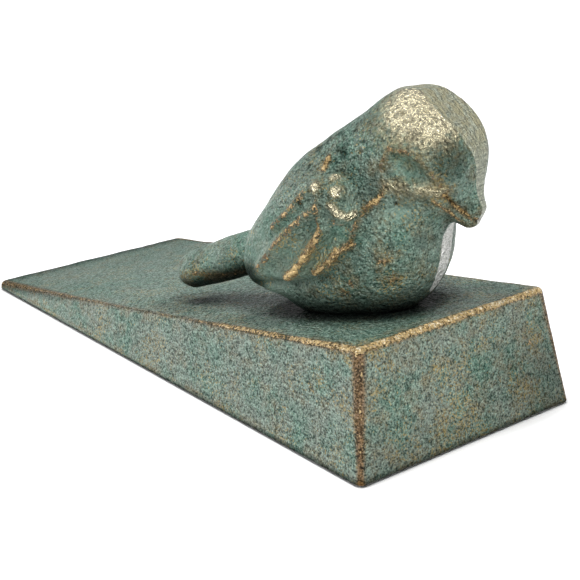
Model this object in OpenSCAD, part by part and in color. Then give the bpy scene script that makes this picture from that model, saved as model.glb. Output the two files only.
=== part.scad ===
// Bird door stop: a cored iron wedge with a cast bird screwed down on its slope.
// Millimetres. +X runs to the thick end, +Z is up, and the origin is on the floor under the middle.

/* [Wedge base] */
// Length of the wedge along the floor
base_length = 153; // [130:1:180]
// Width of the wedge along the floor
base_width = 59.5; // [52:0.5:72]
// Height of the thick end above the floor
base_height = 26.4; // [24:0.2:32]
// Height of the thin end above the floor
tip_height = 2.4; // [2.4:0.1:5]
// How far the thick end leans back over its height
front_lean = 4.9; // [2:0.1:8]
// How far each long side leans in over the height of the thick end
side_lean = 3.9; // [2:0.1:6]
// Rounding of the upright corners
corner_radius = 1.6; // [1.5:0.1:4]
// Rounding of the top edge at the thick end
edge_radius = 1.2; // [0.7:0.1:1.4]
// Rounding of the top edge at the thin end
tip_radius = 0.7; // [0.4:0.1:1]
// Thickness of the wall round the core, at the floor
wall = 6.5; // [5:0.25:8]
// Thickness of the sloping plate over the core
plate = 5; // [4:0.25:6]
// Least height of the core, at its shallow end
core_min = 3; // [2:0.25:5]

/* [Bird on the slope] */
// Distance from the middle of the bird's seat forward to the foot of the thick end
seat_forward = 29; // [27:0.5:37]
// Distance of the bird's seat to the far side of the middle line
seat_aside = -1.75; // [-4:0.25:4]
// How far the bird is turned from the wedge's length, degrees
bird_turn = 20; // [0:1:30]
// Room along the slope between the tail and the end that goes under a door
door_gap = 6; // [2:0.5:12]

/* [Bird's body] */
// Length of the belly
belly_length = 36.4; // [34:0.2:40]
// Width of the belly
belly_width = 29; // [27:0.5:31]
// Depth of the belly
belly_depth = 27; // [25:0.5:29]
// Depth cut off the belly for its flat seat
seat_cut = 2.5; // [1.5:0.1:3.5]
// Length of the breast
breast_length = 24; // [22:0.5:26]
// Width of the breast
breast_width = 28; // [26:0.5:30]
// Height of the breast
breast_height = 30.2; // [28:0.2:33]
// Length of the sloping back
back_length = 40; // [37:0.5:43]
// Width of the back
back_width = 27; // [25:0.5:29]
// Thickness of the back
back_thick = 23.4; // [22:0.2:25]
// Steepness of the back, degrees
back_pitch = 42; // [38:1:46]
// Width over which neighbouring masses run into each other
blend = 5; // [3:0.25:7]

/* [Bird's head] */
// Length of the head
head_length = 25.6; // [24:0.2:28]
// Width of the head
head_width = 24.4; // [22:0.2:27]
// Height of the head
head_height = 28.2; // [26:0.2:29]
// Distance of the head's middle ahead of the seat's middle
head_forward = 16.6; // [15:0.2:18]
// Height of the head's middle above the seat
head_rise = 31.5; // [30:0.1:33]
// Width of the nape between back and head
nape_width = 21; // [19:0.5:23]
// Length of the beak from its root inside the head to the middle of its tip
beak_length = 6.3; // [5.5:0.1:7.5]
// Width of the beak at its root
beak_width = 9.9; // [9:0.1:11]
// Width of the beak's rounded tip
beak_tip = 4.9; // [4:0.1:5.8]
// Downward pitch of the beak, degrees
beak_pitch = -60; // [-66:1:-54]
// Length of the eye hollow
eye_length = 11.6; // [10:0.2:13]
// Height of the eye hollow
eye_height = 6.8; // [6:0.2:8]

/* [Bird's wings and tail] */
// Length of a folded wing
wing_length = 34; // [31:0.5:37]
// Depth of a folded wing
wing_depth = 16.4; // [15:0.2:18]
// Thickness of a folded wing
wing_thick = 8; // [7.2:0.2:8.8]
// Steepness of the folded wings, degrees
wing_pitch = 33; // [29:1:37]
// Thickness of a flight feather
feather_thick = 4; // [3.4:0.1:4.6]
// Length of the tail from its root inside the body
tail_length = 38; // [34:0.5:44]
// Width of the tail
tail_width = 11.6; // [10:0.2:13]
// Thickness of the tail
tail_thick = 9.2; // [8:0.2:10]
// Droop of the tail, degrees
tail_droop = 14; // [11:1:17]

/* [Screws and washers] */
// Outer diameter of the screw's thread
screw_d = 5; // [4:0.5:6]
// Length of the screw under its head
screw_length = 20; // [18:0.5:24]
// Distance between the two screws
screw_pitch = 16; // [14:0.5:17]
// Distance of the screws' middle ahead of the seat's middle
screw_ahead = -1.5; // [-2.5:0.25:-0.5]
// Diameter of the screw's head
head_d = 9.5; // [8.5:0.25:11]
// Height of the screw's head
head_h = 2.8; // [2.2:0.1:3.4]
// Width across the flats of the key hole in the head
key_width = 3; // [2:0.25:4]
// Depth of the key hole
key_depth = 1.7; // [1:0.1:2]
// Outer diameter of the spring washer
spring_d = 9.2; // [8:0.2:11]
// Thickness of the spring washer
spring_t = 1.2; // [0.8:0.1:1.6]
// Width of the slit in the spring washer
spring_slit = 0.8; // [0.5:0.1:1.2]
// Outer diameter of the flat washer
washer_d = 10; // [9:0.25:12]
// Thickness of the flat washer
washer_t = 1; // [0.8:0.1:1.5]
// Diameter of the screw bosses under the plate
boss_d = 14; // [12.5:0.25:16]
// Depth of the screw bosses under the plate
boss_drop = 3; // [2:0.25:4]
// Room round the screw in a tapped hole, on the radius
tap_gap = 0.05; // [0.02:0.01:0.1]
// Room round the screw in the plate and washers, on the radius
clear_gap = 0.25; // [0.2:0.05:0.4]
// Spare depth of the tapped hole past the screw's end
hole_spare = 3; // [2:0.5:5]

/* [Floor pad] */
// Thickness of the felt under the wedge
pad_t = 0.6; // [0.5:0.1:2]
// How far the felt's edge stays inside the wedge's edge
pad_inset = 1.2; // [0.5:0.1:3]

/* [Hidden] */
$fn = 64;

patina = [0.38, 0.51, 0.46];
steel = [0.66, 0.67, 0.68];
felt = [0.13, 0.13, 0.13];

// The sloping top of the wedge, as a height over the floor at each x
cast_height = base_height - pad_t;
tip_rise = tip_height - pad_t;
top_front = base_length / 2 - front_lean;
top_rear = -base_length / 2 + front_lean * tip_rise / cast_height;
slope_rate = (base_height - tip_height) / (top_front - top_rear);
slope = atan(slope_rate);
function top_at(x) = base_height - slope_rate * (top_front - x);
seat_x = base_length / 2 - seat_forward;

// The core under the plate: its ceiling runs parallel to the top
ceiling_drop = plate / cos(slope);
core_front = base_length / 2 - wall;
core_rear = top_front - (base_height - ceiling_drop - pad_t - core_min) / slope_rate;
core_radius = 4;

// The chain under the plate, measured down from the bird's seat along a screw
boss_face = -(plate + boss_drop);
washer_face = boss_face - washer_t;
spring_face = washer_face - spring_t;
screw_tip = spring_face + screw_length;
hole_depth = screw_tip + hole_spare;
front_hole = screw_ahead + screw_pitch / 2;
rear_hole = screw_ahead - screw_pitch / 2;
beyond = 200;

// One rounded mass of the bird: middle, full sizes, nose-up pitch and turn to the side
function mass(middle, size, pitch = 0, turn = 0) =
    let (
        c = cos(pitch), s = sin(pitch), d = cos(turn), e = sin(turn),
        half = size / 2,
        axes = [[c * d, c * e, s], [-e, d, 0], [-s * d, -s * e, c]]
    )
    [middle, [for (i = [0:2]) axes[i] / half[i]], [for (h = half) 1 / h]];

// Places of the bird's masses, from the middle of its seat, with the bird looking along +X
belly_at = [-3.2, 0, belly_depth / 2 - seat_cut];
belly_pitch = 8.6;
breast_sink = 0.3;
breast_at = [7.9, 0, breast_height / 2 - breast_sink];
breast_pitch = -11.8;
back_at = [-6.6, 0, 21];
rump_at = [-15, 0, 15];
rump_size = [18, 20, 14];
rump_pitch = 20;
head_at = [head_forward, 0, head_rise];
nape_at = head_at - [9.6, 0, 1];
nape_size = [22, nape_width, 19];
nape_pitch = 30;
eye_at = head_at + [3.4, head_width / 2 + 1, -1.1];
eye_thick = 6.8;
eye_pitch = -30;
eye_turn = -26;
wing_at = [-8, belly_width / 2 - 1.9, 17.8];
wing_turn = 9;
tail_root = [-12, 0, 15.8];
tail_run = [cos(tail_droop), 0, sin(tail_droop)];
tail_end = tail_root - tail_run * tail_length;

belly = mass(belly_at, [belly_length, belly_width, belly_depth], belly_pitch);
breast = mass(breast_at, [breast_length, breast_width, breast_height], breast_pitch);
back = mass(back_at, [back_length, back_width, back_thick], back_pitch);
rump = mass(rump_at, rump_size, rump_pitch);
head = mass(head_at, [head_length, head_width, head_height]);
nape = mass(nape_at, nape_size, nape_pitch);
eye = mass(eye_at, [eye_length, eye_thick, eye_height], eye_pitch, eye_turn);
wing = mass(wing_at, [wing_length, wing_thick, wing_depth], wing_pitch, wing_turn);
tail = mass(tail_root - tail_run * tail_length / 2, [tail_length, tail_width, tail_thick], tail_droop);

// The two halves of the beak: root, tip, and the radius at each; the lower half is the smaller
beak_root = head_at + [6.6, 0, -5.6];
beak_run = beak_length * [cos(beak_pitch), 0, sin(beak_pitch)];
beak_top = [beak_root, beak_root + beak_run, beak_width / 2, beak_tip / 2];
under_root = beak_root + [-1, 0, -1.9];
under_share = 0.98;
beak_under = [
    under_root, under_root + under_share * beak_run, under_share * beak_width / 2, under_share * beak_tip / 2
];

// Flight feathers of a folded wing, from root to tip, each end set off from the wing's outer face
wing_face = wing_at.y + wing_thick / 2;
feather_r = feather_thick / 2;
function feather(root, tip) =
    [root + [0, wing_face, 0], tip + [0, wing_face, 0], feather_r, feather_r];
feathers = [
    feather([-1.5, -0.8, 27], [-17.4, -2.6, 17]),
    feather([-0.5, -0.2, 23.4], [-17.6, -3.6, 11.6]),
    feather([0.8, -0.4, 18.6], [-8.6, -2.2, 10.4]),
    feather([6, -2.8, 16.4], [-2.8, -2.6, 10.4])
];

// Distance-like value of a mass at a point: below zero inside, zero on the skin
function depth(p, m) =
    let (q = m[1] * (p - m[0]), a = norm(q), b = norm([q.x * m[2].x, q.y * m[2].y, q.z * m[2].z]))
    a * (a - 1) / b;

// Distance of a point from a tapered round between two ends
function taper_depth(p, t) =
    let (run = t[1] - t[0], u = max(0, min(1, (p - t[0]) * run / (run * run))))
    norm(p - t[0] - u * run) - t[2] - (t[3] - t[2]) * u;

// Union of two values with a rounded valley of width k
function join(a, b, k) = let (h = max(k - abs(a - b), 0) / k) min(a, b) - h * h * k / 4;

// Cut of the second value from the first with a rounded rim of width k
function carve(a, b, k) = -join(-a, b, k);

// Value of the bird as modelled, before its mould line was ground; both sides are alike
wing_blend = 3;
feather_blend = 1.6;
eye_rim = 1.2;
mouth_blend = 0.8;
beak_blend = 2;
function modelled_depth(p) =
    let (
        q = [p.x, abs(p.y), p.z],
        low = join(depth(q, belly), depth(q, breast), blend),
        body = join(join(low, depth(q, back), blend), depth(q, rump), blend),
        top = join(depth(q, nape), depth(q, head), blend),
        trunk = join(join(body, top, blend), depth(q, tail), blend / 2),
        winged = join(trunk, depth(q, wing), wing_blend),
        feathered = join(winged, min([for (f = feathers) taper_depth(q, f)]), feather_blend),
        faced = carve(feathered, depth(q, eye), eye_rim),
        bill = join(taper_depth(q, beak_top), taper_depth(q, beak_under), mouth_blend)
    )
    join(faced, bill, beak_blend);

// The mould line was ground to a flat strip down the front: how deep it was cut, at heights over the seat.
// It runs out behind the crown, where the grinder's plane lifts off the form
strip_cut = [
    [3, 0], [8, 0.1], [15, 0.1], [17, 0], [22, 0.25], [28.5, 0.2], [31.5, 0.45],
    [34.5, 1.1], [37, 1.5], [39, 2], [42, 1.85], [44, 0.9], [46, 0.2]
];
strip_from = 10;
strip_fade = 6;
strip_lift = 0.6;
strip_rim = 0.4;
function ground_depth(p) =
    let (ahead = ease((p.x - strip_from) / strip_fade))
    modelled_depth([p.x, 0, p.z]) + lookup(p.z, strip_cut) * ahead - strip_lift * (1 - ahead);

// The bird's skin is where this value is zero
function bird_depth(p) = carve(modelled_depth(p), -ground_depth(p), strip_rim);

// The skin is found along rays that start on a line inside the bird, from tail to beak
side_steps = 44;
cap_rings = 4;
tail_rings = 8;
body_rings = 60;
halvings = 13;
side_crowding = 0.15;
ring_crowding = 0.25;
core_at = [0, 0, 20];
front_at = head_at - [7.6, 0, 5];
tail_way = tail_end - core_at;
tail_dir = atan2(tail_way.z, tail_way.x) + 360;
beak_dir = 165;
shaft_from = 27;
shaft_to = norm(tail_way) - tail_width / 2;
tail_reach = tail_width;
body_reach = 36;
first_polar = 16;
last_polar = 177;
swing_from = 60;
swing_over = 100;

// Even steps from 0 to 1, drawn closer together in the middle
function crowd(u, amount) = u + amount * sin(360 * u) / (2 * PI);
function ease(t) = let (u = max(0, min(1, t))) u * u * (3 - 2 * u);
function along(dir) = [cos(dir), 0, sin(dir)];
function on_tail(u) = core_at + along(tail_dir) * (shaft_to + (shaft_from - shaft_to) * u);

// Each ring: where its rays start, the axis that they open round, their angle to it, their longest reach
tail_cap = [for (i = [1:cap_rings]) [on_tail(0), tail_dir, 90 * i / (cap_rings + 1), tail_reach]];
tail_shaft = [for (i = [0:tail_rings - 1]) [on_tail(i / (tail_rings - 1)), tail_dir, 90, tail_reach]];
body_part = [
    for (i = [0:body_rings - 1])
        let (
            polar = first_polar + (last_polar - first_polar) * crowd(i / (body_rings - 1), ring_crowding),
            swing = ease((polar - swing_from) / swing_over)
        )
        [core_at + (front_at - core_at) * swing, tail_dir + (beak_dir - tail_dir) * swing, polar, body_reach]
];
rings = concat(tail_cap, tail_shaft, body_part);

// Point on the skin along one ray, by halving the stretch that crosses it
function reach(from, way, near, far, n) =
    n == 0 ? from + way * (near + far) / 2 :
    let (mid = (near + far) / 2)
    bird_depth(from + way * mid) > 0 ?
        reach(from, way, near, mid, n - 1) : reach(from, way, mid, far, n - 1);
function ray(ring, turn) =
    let (dir = ring[1], polar = ring[2])
    cos(polar) * along(dir) + sin(polar) * (cos(turn) * along(dir + 90) + sin(turn) * [0, 1, 0]);
function half_ring(ring) = [
    for (j = [0:side_steps])
        reach(ring[0], ray(ring, 180 * crowd(j / side_steps, side_crowding)), 0, ring[3], halvings)
];
function whole_ring(half) = concat(half, [for (j = [side_steps - 1:-1:1]) [half[j].x, -half[j].y, half[j].z]]);

// Two triangles of the patch between neighbours a and b and the next ring, along its shorter diagonal
function split(points, a, b, n) =
    norm(points[a] - points[b + n]) < norm(points[b] - points[a + n]) ?
        [[a, b + n, b], [a, a + n, b + n]] : [[a, a + n, b], [b, a + n, b + n]];

module bird_skin() {
    first = rings[0];
    last = rings[len(rings) - 1];
    tail_pole = reach(first[0], along(tail_dir), 0, first[3], halvings);
    beak_pole = reach(last[0], -along(last[1]), 0, last[3], halvings);
    n = 2 * side_steps;
    m = len(rings);
    points = concat([tail_pole], [for (r = rings) each whole_ring(half_ring(r))], [beak_pole]);
    end = m * n + 1;
    faces = concat(
        [for (j = [0:n - 1]) [0, 1 + j, 1 + (j + 1) % n]],
        [for (i = [0:m - 2], j = [0:n - 1]) each split(points, 1 + i * n + j, 1 + i * n + (j + 1) % n, n)],
        [for (j = [0:n - 1]) [end, end - n + (j + 1) % n, end - n + j]]
    );
    polyhedron(points, faces);
}

// Places its children on the slope, with the bird's seat as origin
module on_slope() {
    translate([seat_x, seat_aside, top_at(seat_x)])
        rotate([0, -slope, 0])
            rotate([0, 0, bird_turn])
                children();
}

// Places its children along one screw
module at_screw(place) {
    on_slope() translate([place, 0, 0]) children();
}

// Points round a rectangle with rounded corners, and one on each long side at its waist:
// each with its outward direction, and the sides that its wall leans in from
corner_steps = 6;
function corner_points(c, rear, front, half_width, radius) = [
    for (i = [0:corner_steps])
        let (
            turn = 90 * (c + i / corner_steps),
            out = [cos(turn), sin(turn)],
            side = [(c == 0 || c == 3) ? 1 : -1, c < 2 ? 1 : -1],
            middle = [side.x > 0 ? front - radius : rear + radius, side.y * (half_width - radius)]
        )
        [middle + radius * out, out, side]
];
function waist_point(x, y) = [[x, y], [0, sign(y)], [0, sign(y)]];
function outline_points(rear, front, half_width, radius, waist) = concat(
    corner_points(0, rear, front, half_width, radius),
    [waist_point(waist, half_width)],
    corner_points(1, rear, front, half_width, radius),
    corner_points(2, rear, front, half_width, radius),
    [waist_point(waist, -half_width)],
    corner_points(3, rear, front, half_width, radius)
);
far_waist = corner_steps + 1;
near_waist = 3 * (corner_steps + 1) + 1;

// Wedge with leaning sides under a plane parallel to the slope, its top edge rounded;
// the top is two faces in one plane, the free end behind the waist and the rest ahead of it
edge_steps = 5;
lean_rate = [front_lean, side_lean] / cast_height;
module leaning_wedge(rear, front, half_width, radius, waist, drop) {
    outline = outline_points(rear, front, half_width, radius, waist);
    n = len(outline);
    function edge(x) = min(radius, tip_radius + (edge_radius - tip_radius) * (x - rear) / (front - rear));
    // Point of the wall under the plane, moved in by an inset and down by a fall
    function wall_point(spot, inset, fall) =
        let (
            flat = spot[0] - inset * spot[1],
            side = spot[2],
            rise = (top_at(flat.x) - drop - fall - pad_t) / (1 + slope_rate * side.x * lean_rate.x)
        )
        [flat.x - side.x * lean_rate.x * rise, flat.y - side.y * lean_rate.y * rise, pad_t + rise];
    foot = [for (s = outline) [s[0].x, s[0].y, pad_t]];
    brim = [
        for (k = [0:edge_steps], s = outline)
            let (r = edge(s[0].x), turn = 90 * k / edge_steps)
            wall_point(s, r * (1 - cos(turn)), r * (1 - sin(turn)))
    ];
    points = concat(foot, brim);
    last = (edge_steps + 1) * n;
    faces = concat(
        [[for (j = [0:n - 1]) j]],
        [for (i = [0:edge_steps], j = [0:n - 1])
            each let (a = i * n + j, b = i * n + (j + 1) % n) [[a, b + n, b], [a, a + n, b + n]]],
        [[for (j = [near_waist:-1:far_waist]) last + j]],
        [[for (j = [n + far_waist:-1:near_waist]) last + j % n]]
    );
    polyhedron(points, faces);
}

// The slope is free for a door from the thin end up to this place behind the tail
door_end = seat_x + tail_end.x * cos(bird_turn) * cos(slope) - tail_end.z * sin(slope) - door_gap;

module wedge_base() {
    color(patina)
    difference() {
        union() {
            difference() {
                leaning_wedge(-base_length / 2, base_length / 2, base_width / 2, corner_radius, door_end, 0);
                leaning_wedge(core_rear, core_front, base_width / 2 - wall, core_radius,
                    (core_rear + core_front) / 2, ceiling_drop);
            }
            for (place = [front_hole, rear_hole])
                at_screw(place)
                    translate([0, 0, boss_face]) cylinder(d = boss_d, h = plate / 2 + boss_drop);
        }
        for (place = [front_hole, rear_hole])
            at_screw(place)
                translate([0, 0, -beyond / 2]) cylinder(r = screw_d / 2 + clear_gap, h = beyond);
    }
}

module bird() {
    color(patina)
    on_slope()
    difference() {
        bird_skin();
        translate([-beyond / 2, -beyond / 2, -beyond]) cube(beyond);
        for (place = [front_hole, rear_hole])
            translate([place, 0, -1]) cylinder(r = screw_d / 2 + tap_gap, h = hole_depth + 1);
    }
}

// Screw with a domed head and a six-sided key hole, its head downwards
dome_drop = 0.9;
module screw(place) {
    color(steel)
    at_screw(place)
    difference() {
        rotate_extrude()
            polygon([
                [0, spring_face - head_h], [head_d / 2 - dome_drop, spring_face - head_h],
                [head_d / 2, spring_face - head_h + dome_drop], [head_d / 2, spring_face],
                [screw_d / 2, spring_face], [screw_d / 2, screw_tip - dome_drop],
                [screw_d / 2 - dome_drop, screw_tip], [0, screw_tip]
            ]);
        translate([0, 0, spring_face - head_h - 1])
            cylinder(d = key_width / cos(30), h = key_depth + 1, $fn = 6);
    }
}

module front_screw() {
    screw(front_hole);
}

module rear_screw() {
    screw(rear_hole);
}

module ring_washer(face, outer, thick) {
    translate([0, 0, face])
    difference() {
        cylinder(d = outer, h = thick);
        translate([0, 0, -1]) cylinder(r = screw_d / 2 + clear_gap, h = thick + 2);
    }
}

module spring_washer(place) {
    color(steel)
    at_screw(place)
    difference() {
        ring_washer(spring_face, spring_d, spring_t);
        translate([0, -spring_slit / 2, spring_face - 1]) cube([spring_d, spring_slit, spring_t + 2]);
    }
}

module front_spring_washer() {
    spring_washer(front_hole);
}

module rear_spring_washer() {
    spring_washer(rear_hole);
}

module flat_washer(place) {
    color(steel)
    at_screw(place)
        ring_washer(washer_face, washer_d, washer_t);
}

module front_flat_washer() {
    flat_washer(front_hole);
}

module rear_flat_washer() {
    flat_washer(rear_hole);
}

module floor_pad() {
    length = base_length - 2 * pad_inset;
    width = base_width - 2 * pad_inset;
    color(felt)
    linear_extrude(pad_t) {
        square([length - 2 * corner_radius, width], center = true);
        square([length, width - 2 * corner_radius], center = true);
        for (x = [-1, 1], y = [-1, 1])
            translate([x * (length / 2 - corner_radius), y * (width / 2 - corner_radius)])
                circle(r = corner_radius);
    }
}

wedge_base();
bird();
front_screw();
rear_screw();
front_spring_washer();
rear_spring_washer();
front_flat_washer();
rear_flat_washer();
floor_pad();
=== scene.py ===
# %% [markdown]
# # A bird door stop in cast iron
# The real thing is two iron castings: a hollow wedge, and a plump bird that two screws hold down on its
# slope. Both were painted with a green patina, and the high edges were then rubbed back to gold.
# The measured solids come in first as a fixed frame. Everything made here lies on that frame, in metres.

import bpy
import numpy as np
from mathutils import Matrix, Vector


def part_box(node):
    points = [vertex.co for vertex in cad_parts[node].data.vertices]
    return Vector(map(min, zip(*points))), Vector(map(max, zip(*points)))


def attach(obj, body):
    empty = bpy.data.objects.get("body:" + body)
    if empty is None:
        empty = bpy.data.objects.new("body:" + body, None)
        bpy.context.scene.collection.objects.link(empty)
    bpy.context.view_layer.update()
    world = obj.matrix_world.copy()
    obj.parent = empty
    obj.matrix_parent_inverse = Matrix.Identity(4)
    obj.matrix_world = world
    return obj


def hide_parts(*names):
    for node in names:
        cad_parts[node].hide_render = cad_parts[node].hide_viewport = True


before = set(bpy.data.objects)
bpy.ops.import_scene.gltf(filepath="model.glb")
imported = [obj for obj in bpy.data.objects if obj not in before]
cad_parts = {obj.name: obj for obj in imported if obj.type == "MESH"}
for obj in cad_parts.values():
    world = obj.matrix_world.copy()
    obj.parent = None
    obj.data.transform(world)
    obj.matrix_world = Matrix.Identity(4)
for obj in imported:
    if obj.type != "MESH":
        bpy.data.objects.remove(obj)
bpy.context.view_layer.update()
MM = 0.001
base_low, base_high = (np.array(corner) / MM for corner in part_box("wedge_base"))
print("frame:", len(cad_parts), "solids, base from", base_low.round(2), "to", base_high.round(2))

# %% [markdown]
# ## From arrays to meshes
# A surface is a grid of points worked out in one go with numpy, in millimetres. Its faces follow from the
# grid's own index numbers, so no loop ever walks over vertices. That is quick, and every piece keeps even,
# tidy quads that shade well.


# %% Arrays into meshes
def grid_quads(index):
    """One quad for each cell of a table of vertex numbers."""
    corners = [index[:-1, :-1], index[:-1, 1:], index[1:, 1:], index[1:, :-1]]
    return np.stack(corners, axis=-1).reshape(-1, 4)


def wrapped(index):
    """The table with its first column again at the end, so that its rows close."""
    return np.concatenate([index, index[:, :1]], axis=1)


def put_in(name, points, *face_blocks):
    """A mesh object at the origin from points in millimetres and arrays of faces."""
    faces = [face for block in face_blocks for face in np.asarray(block).tolist()]
    mesh = bpy.data.meshes.new(name)
    mesh.from_pydata((points * MM).tolist(), [], faces)
    mesh.validate()
    piece = bpy.data.objects.new(name, mesh)
    bpy.context.scene.collection.objects.link(piece)
    return piece


def points_of(piece):
    """The piece's vertices in millimetres, as an array with a row for each."""
    flat = np.empty(len(piece.data.vertices) * 3)
    piece.data.vertices.foreach_get("co", flat)
    return flat.reshape(-1, 3) / MM


def keep(piece, name, values):
    """Stores one number a vertex, or one vector, for the materials to read."""
    values = np.asarray(values, dtype=np.float32)
    if values.ndim == 1:
        piece.data.attributes.new(name, "FLOAT", "POINT").data.foreach_set("value", values)
    else:
        piece.data.attributes.new(name, "FLOAT_VECTOR", "POINT").data.foreach_set("vector", values.ravel())


def shade(piece, crease=40):
    """Smooth shading, with edges kept sharp where faces meet at more than the crease in degrees."""
    mesh = piece.data
    mesh.shade_smooth()
    sharp = np.zeros(len(mesh.edges), dtype=bool)
    normals = np.empty(len(mesh.polygons) * 3)
    mesh.polygons.foreach_get("normal", normals)
    normals = normals.reshape(-1, 3)
    edge_of_loop = np.empty(len(mesh.loops), dtype=int)
    mesh.loops.foreach_get("edge_index", edge_of_loop)
    sides = np.empty(len(mesh.polygons), dtype=int)
    mesh.polygons.foreach_get("loop_total", sides)
    face_of_loop = np.repeat(np.arange(len(sides)), sides)
    order = np.argsort(edge_of_loop, kind="stable")
    edges, faces = edge_of_loop[order], face_of_loop[order]
    pair = edges[:-1] == edges[1:]
    meet = (normals[faces[:-1]] * normals[faces[1:]]).sum(axis=1)
    sharp[edges[:-1][pair & (meet < np.cos(np.radians(crease)))]] = True
    kept = mesh.attributes.get("sharp_edge") or mesh.attributes.new("sharp_edge", "BOOLEAN", "EDGE")
    kept.data.foreach_set("value", sharp)


# %% [markdown]
# ## Rough iron
# Sand leaves a cast skin slightly lumpy. Two kinds of noise give that. One eases between random values on a
# cubic lattice, for soft waves. The other measures the distance to scattered seeds, for hammered dimples.
# Both start from a fixed seed, so the casting comes out the same on each run.


# %% Noise on arrays
LATTICE = 32


def ease(t):
    """Smooth step: 0 below 0, 1 above 1, and an S-curve between."""
    u = np.clip(t, 0, 1)
    return u * u * (3 - 2 * u)


def bell(gap, width):
    """1 where the gap is 0, falling off to both sides over the given width."""
    return np.exp(-((gap / width) ** 2))


def waves(points, cell, seed):
    """Soft noise from -1 to 1: random lattice values, eased between the corners of each cube."""
    table = np.random.default_rng(seed).uniform(-1, 1, (LATTICE, LATTICE, LATTICE))
    place = points / cell
    low = np.floor(place).astype(int)
    part = ease(place - low)
    total = np.zeros(len(points))
    for corner in np.ndindex(2, 2, 2):
        i, j, k = ((low + corner) % LATTICE).T
        share = np.where(np.array(corner, dtype=bool), part, 1 - part).prod(axis=1)
        total += table[i, j, k] * share
    return total


def layered(points, layers):
    """Sum of soft noises, each given by its height, the size of its waves in millimetres and its seed."""
    return sum(height * waves(points, cell, seed) for height, cell, seed in layers)


def dimples(points, cell, seed):
    """Distance to the nearest scattered seed, in cells: 0 in a dimple's middle, about 0.8 on its rim."""
    jitter = np.random.default_rng(seed).uniform(0.15, 0.85, (LATTICE, LATTICE, LATTICE, 3))
    place = points / cell
    low = np.floor(place).astype(int)
    nearest = np.full(len(points), 9.0)
    for step in np.ndindex(3, 3, 3):
        cube = low + step - 1
        i, j, k = (cube % LATTICE).T
        nearest = np.minimum(nearest, np.linalg.norm(cube + jitter[i, j, k] - place, axis=1))
    return nearest


# %% [markdown]
# ## The wedge's outer skin
# The foot is a rectangle with round corners. Each wall leans in as it climbs to the sloping plane, and the
# brim rolls over to meet it. So the skin is a stack of closed rings, from the foot to the end of the roll,
# and the slope inside the last ring is a patch stretched between its four sides.

# %% Wedge sizes
front_lean = 4.9
side_lean = 3.9
tip_height = 2.4
corner_radius = 1.6
edge_radius = 1.2
tip_radius = 0.7
base_height = base_high[2]
pad_thick = base_low[2]
half_length = (base_high[0] - base_low[0]) / 2
half_width = (base_high[1] - base_low[1]) / 2
cast_height = base_height - pad_thick
lean_rate = np.array([front_lean, side_lean]) / cast_height
top_front = half_length - front_lean
top_rear = -half_length + front_lean * (tip_height - pad_thick) / cast_height
slope_rate = (base_height - tip_height) / (top_front - top_rear)
slope = np.arctan(slope_rate)
slope_up = np.array([-np.sin(slope), 0, np.cos(slope)])
print("wedge:", 2 * half_length, "by", 2 * half_width, "mm, slope", np.degrees(slope).round(2), "degrees")


def top_at(x):
    """Height of the sloping plane over the floor at a place along the wedge."""
    return base_height - slope_rate * (top_front - x)


def outline(half_x, half_y, radius, nx, ny):
    """Foot points round a rectangle with round corners, from its near rear corner, with outward directions.

    Each side runs from the middle of one corner's arc to the middle of the next, in even steps.
    """
    spots, ways = [], []
    for side, steps in enumerate((nx, ny, nx, ny)):
        flat = 2 * ((half_x, half_y)[side % 2] - radius)
        arc = np.pi * radius / 4
        along = np.linspace(0, flat + 2 * arc, steps, endpoint=False)
        bend = np.where(along < arc, along - arc, np.maximum(along - arc - flat, 0)) / radius
        turn = np.radians(90 * side - 90) + bend
        way = np.stack([np.cos(turn), np.sin(turn)], axis=1)
        run = np.array([[1, 0], [0, 1], [-1, 0], [0, -1]][side])
        wall = np.array([[0, -1], [1, 0], [0, 1], [-1, 0]][side])
        reach = np.clip(along - arc, 0, flat) - flat / 2
        inner = wall * (np.array([half_x, half_y]) - radius)
        spots.append(inner + run * reach[:, None] + radius * way)
        ways.append(way)
    return np.concatenate(spots), np.concatenate(ways)


def patch(ring, nx, ny):
    """Points inside a closed ring, on the surface stretched between its four sides.

    The two ways of ruling straight lines between facing sides are added, less the patch of the corners alone.
    """
    near = ring[: nx + 1]
    front = ring[nx : nx + ny + 1]
    far = ring[nx + ny : 2 * nx + ny + 1][::-1]
    rear = np.concatenate([ring[2 * nx + ny :], ring[:1]])[::-1]
    u = np.linspace(0, 1, nx + 1)[:, None, None]
    v = np.linspace(0, 1, ny + 1)[None, :, None]
    ruled = (1 - v) * near[:, None] + v * far[:, None] + (1 - u) * rear[None] + u * front[None]
    corners = (1 - u) * ((1 - v) * near[0] + v * far[0]) + u * ((1 - v) * near[-1] + v * far[-1])
    return ruled - corners


def patch_index(first_ring, first_inner, nx, ny):
    """Vertex numbers of a patch: its border from a ring, its inside numbered on from first_inner."""
    ring = first_ring + np.arange(2 * (nx + ny))
    index = np.empty((nx + 1, ny + 1), dtype=int)
    index[1:-1, 1:-1] = first_inner + np.arange((nx - 1) * (ny - 1)).reshape(nx - 1, ny - 1)
    index[:, 0] = ring[: nx + 1]
    index[-1, :] = ring[nx : nx + ny + 1]
    index[:, -1] = ring[nx + ny : 2 * nx + ny + 1][::-1]
    index[0, :] = np.concatenate([ring[2 * nx + ny :], ring[:1]])[::-1]
    return index


# %% [markdown]
# Iron does not fill a sand mould perfectly. The long brim on the near side sags a little in the middle, the
# brims wander, and the flats carry shallow waves. Each ring point is therefore pushed along its own outward
# direction by a small sum of noise before the mesh is made.

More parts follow.
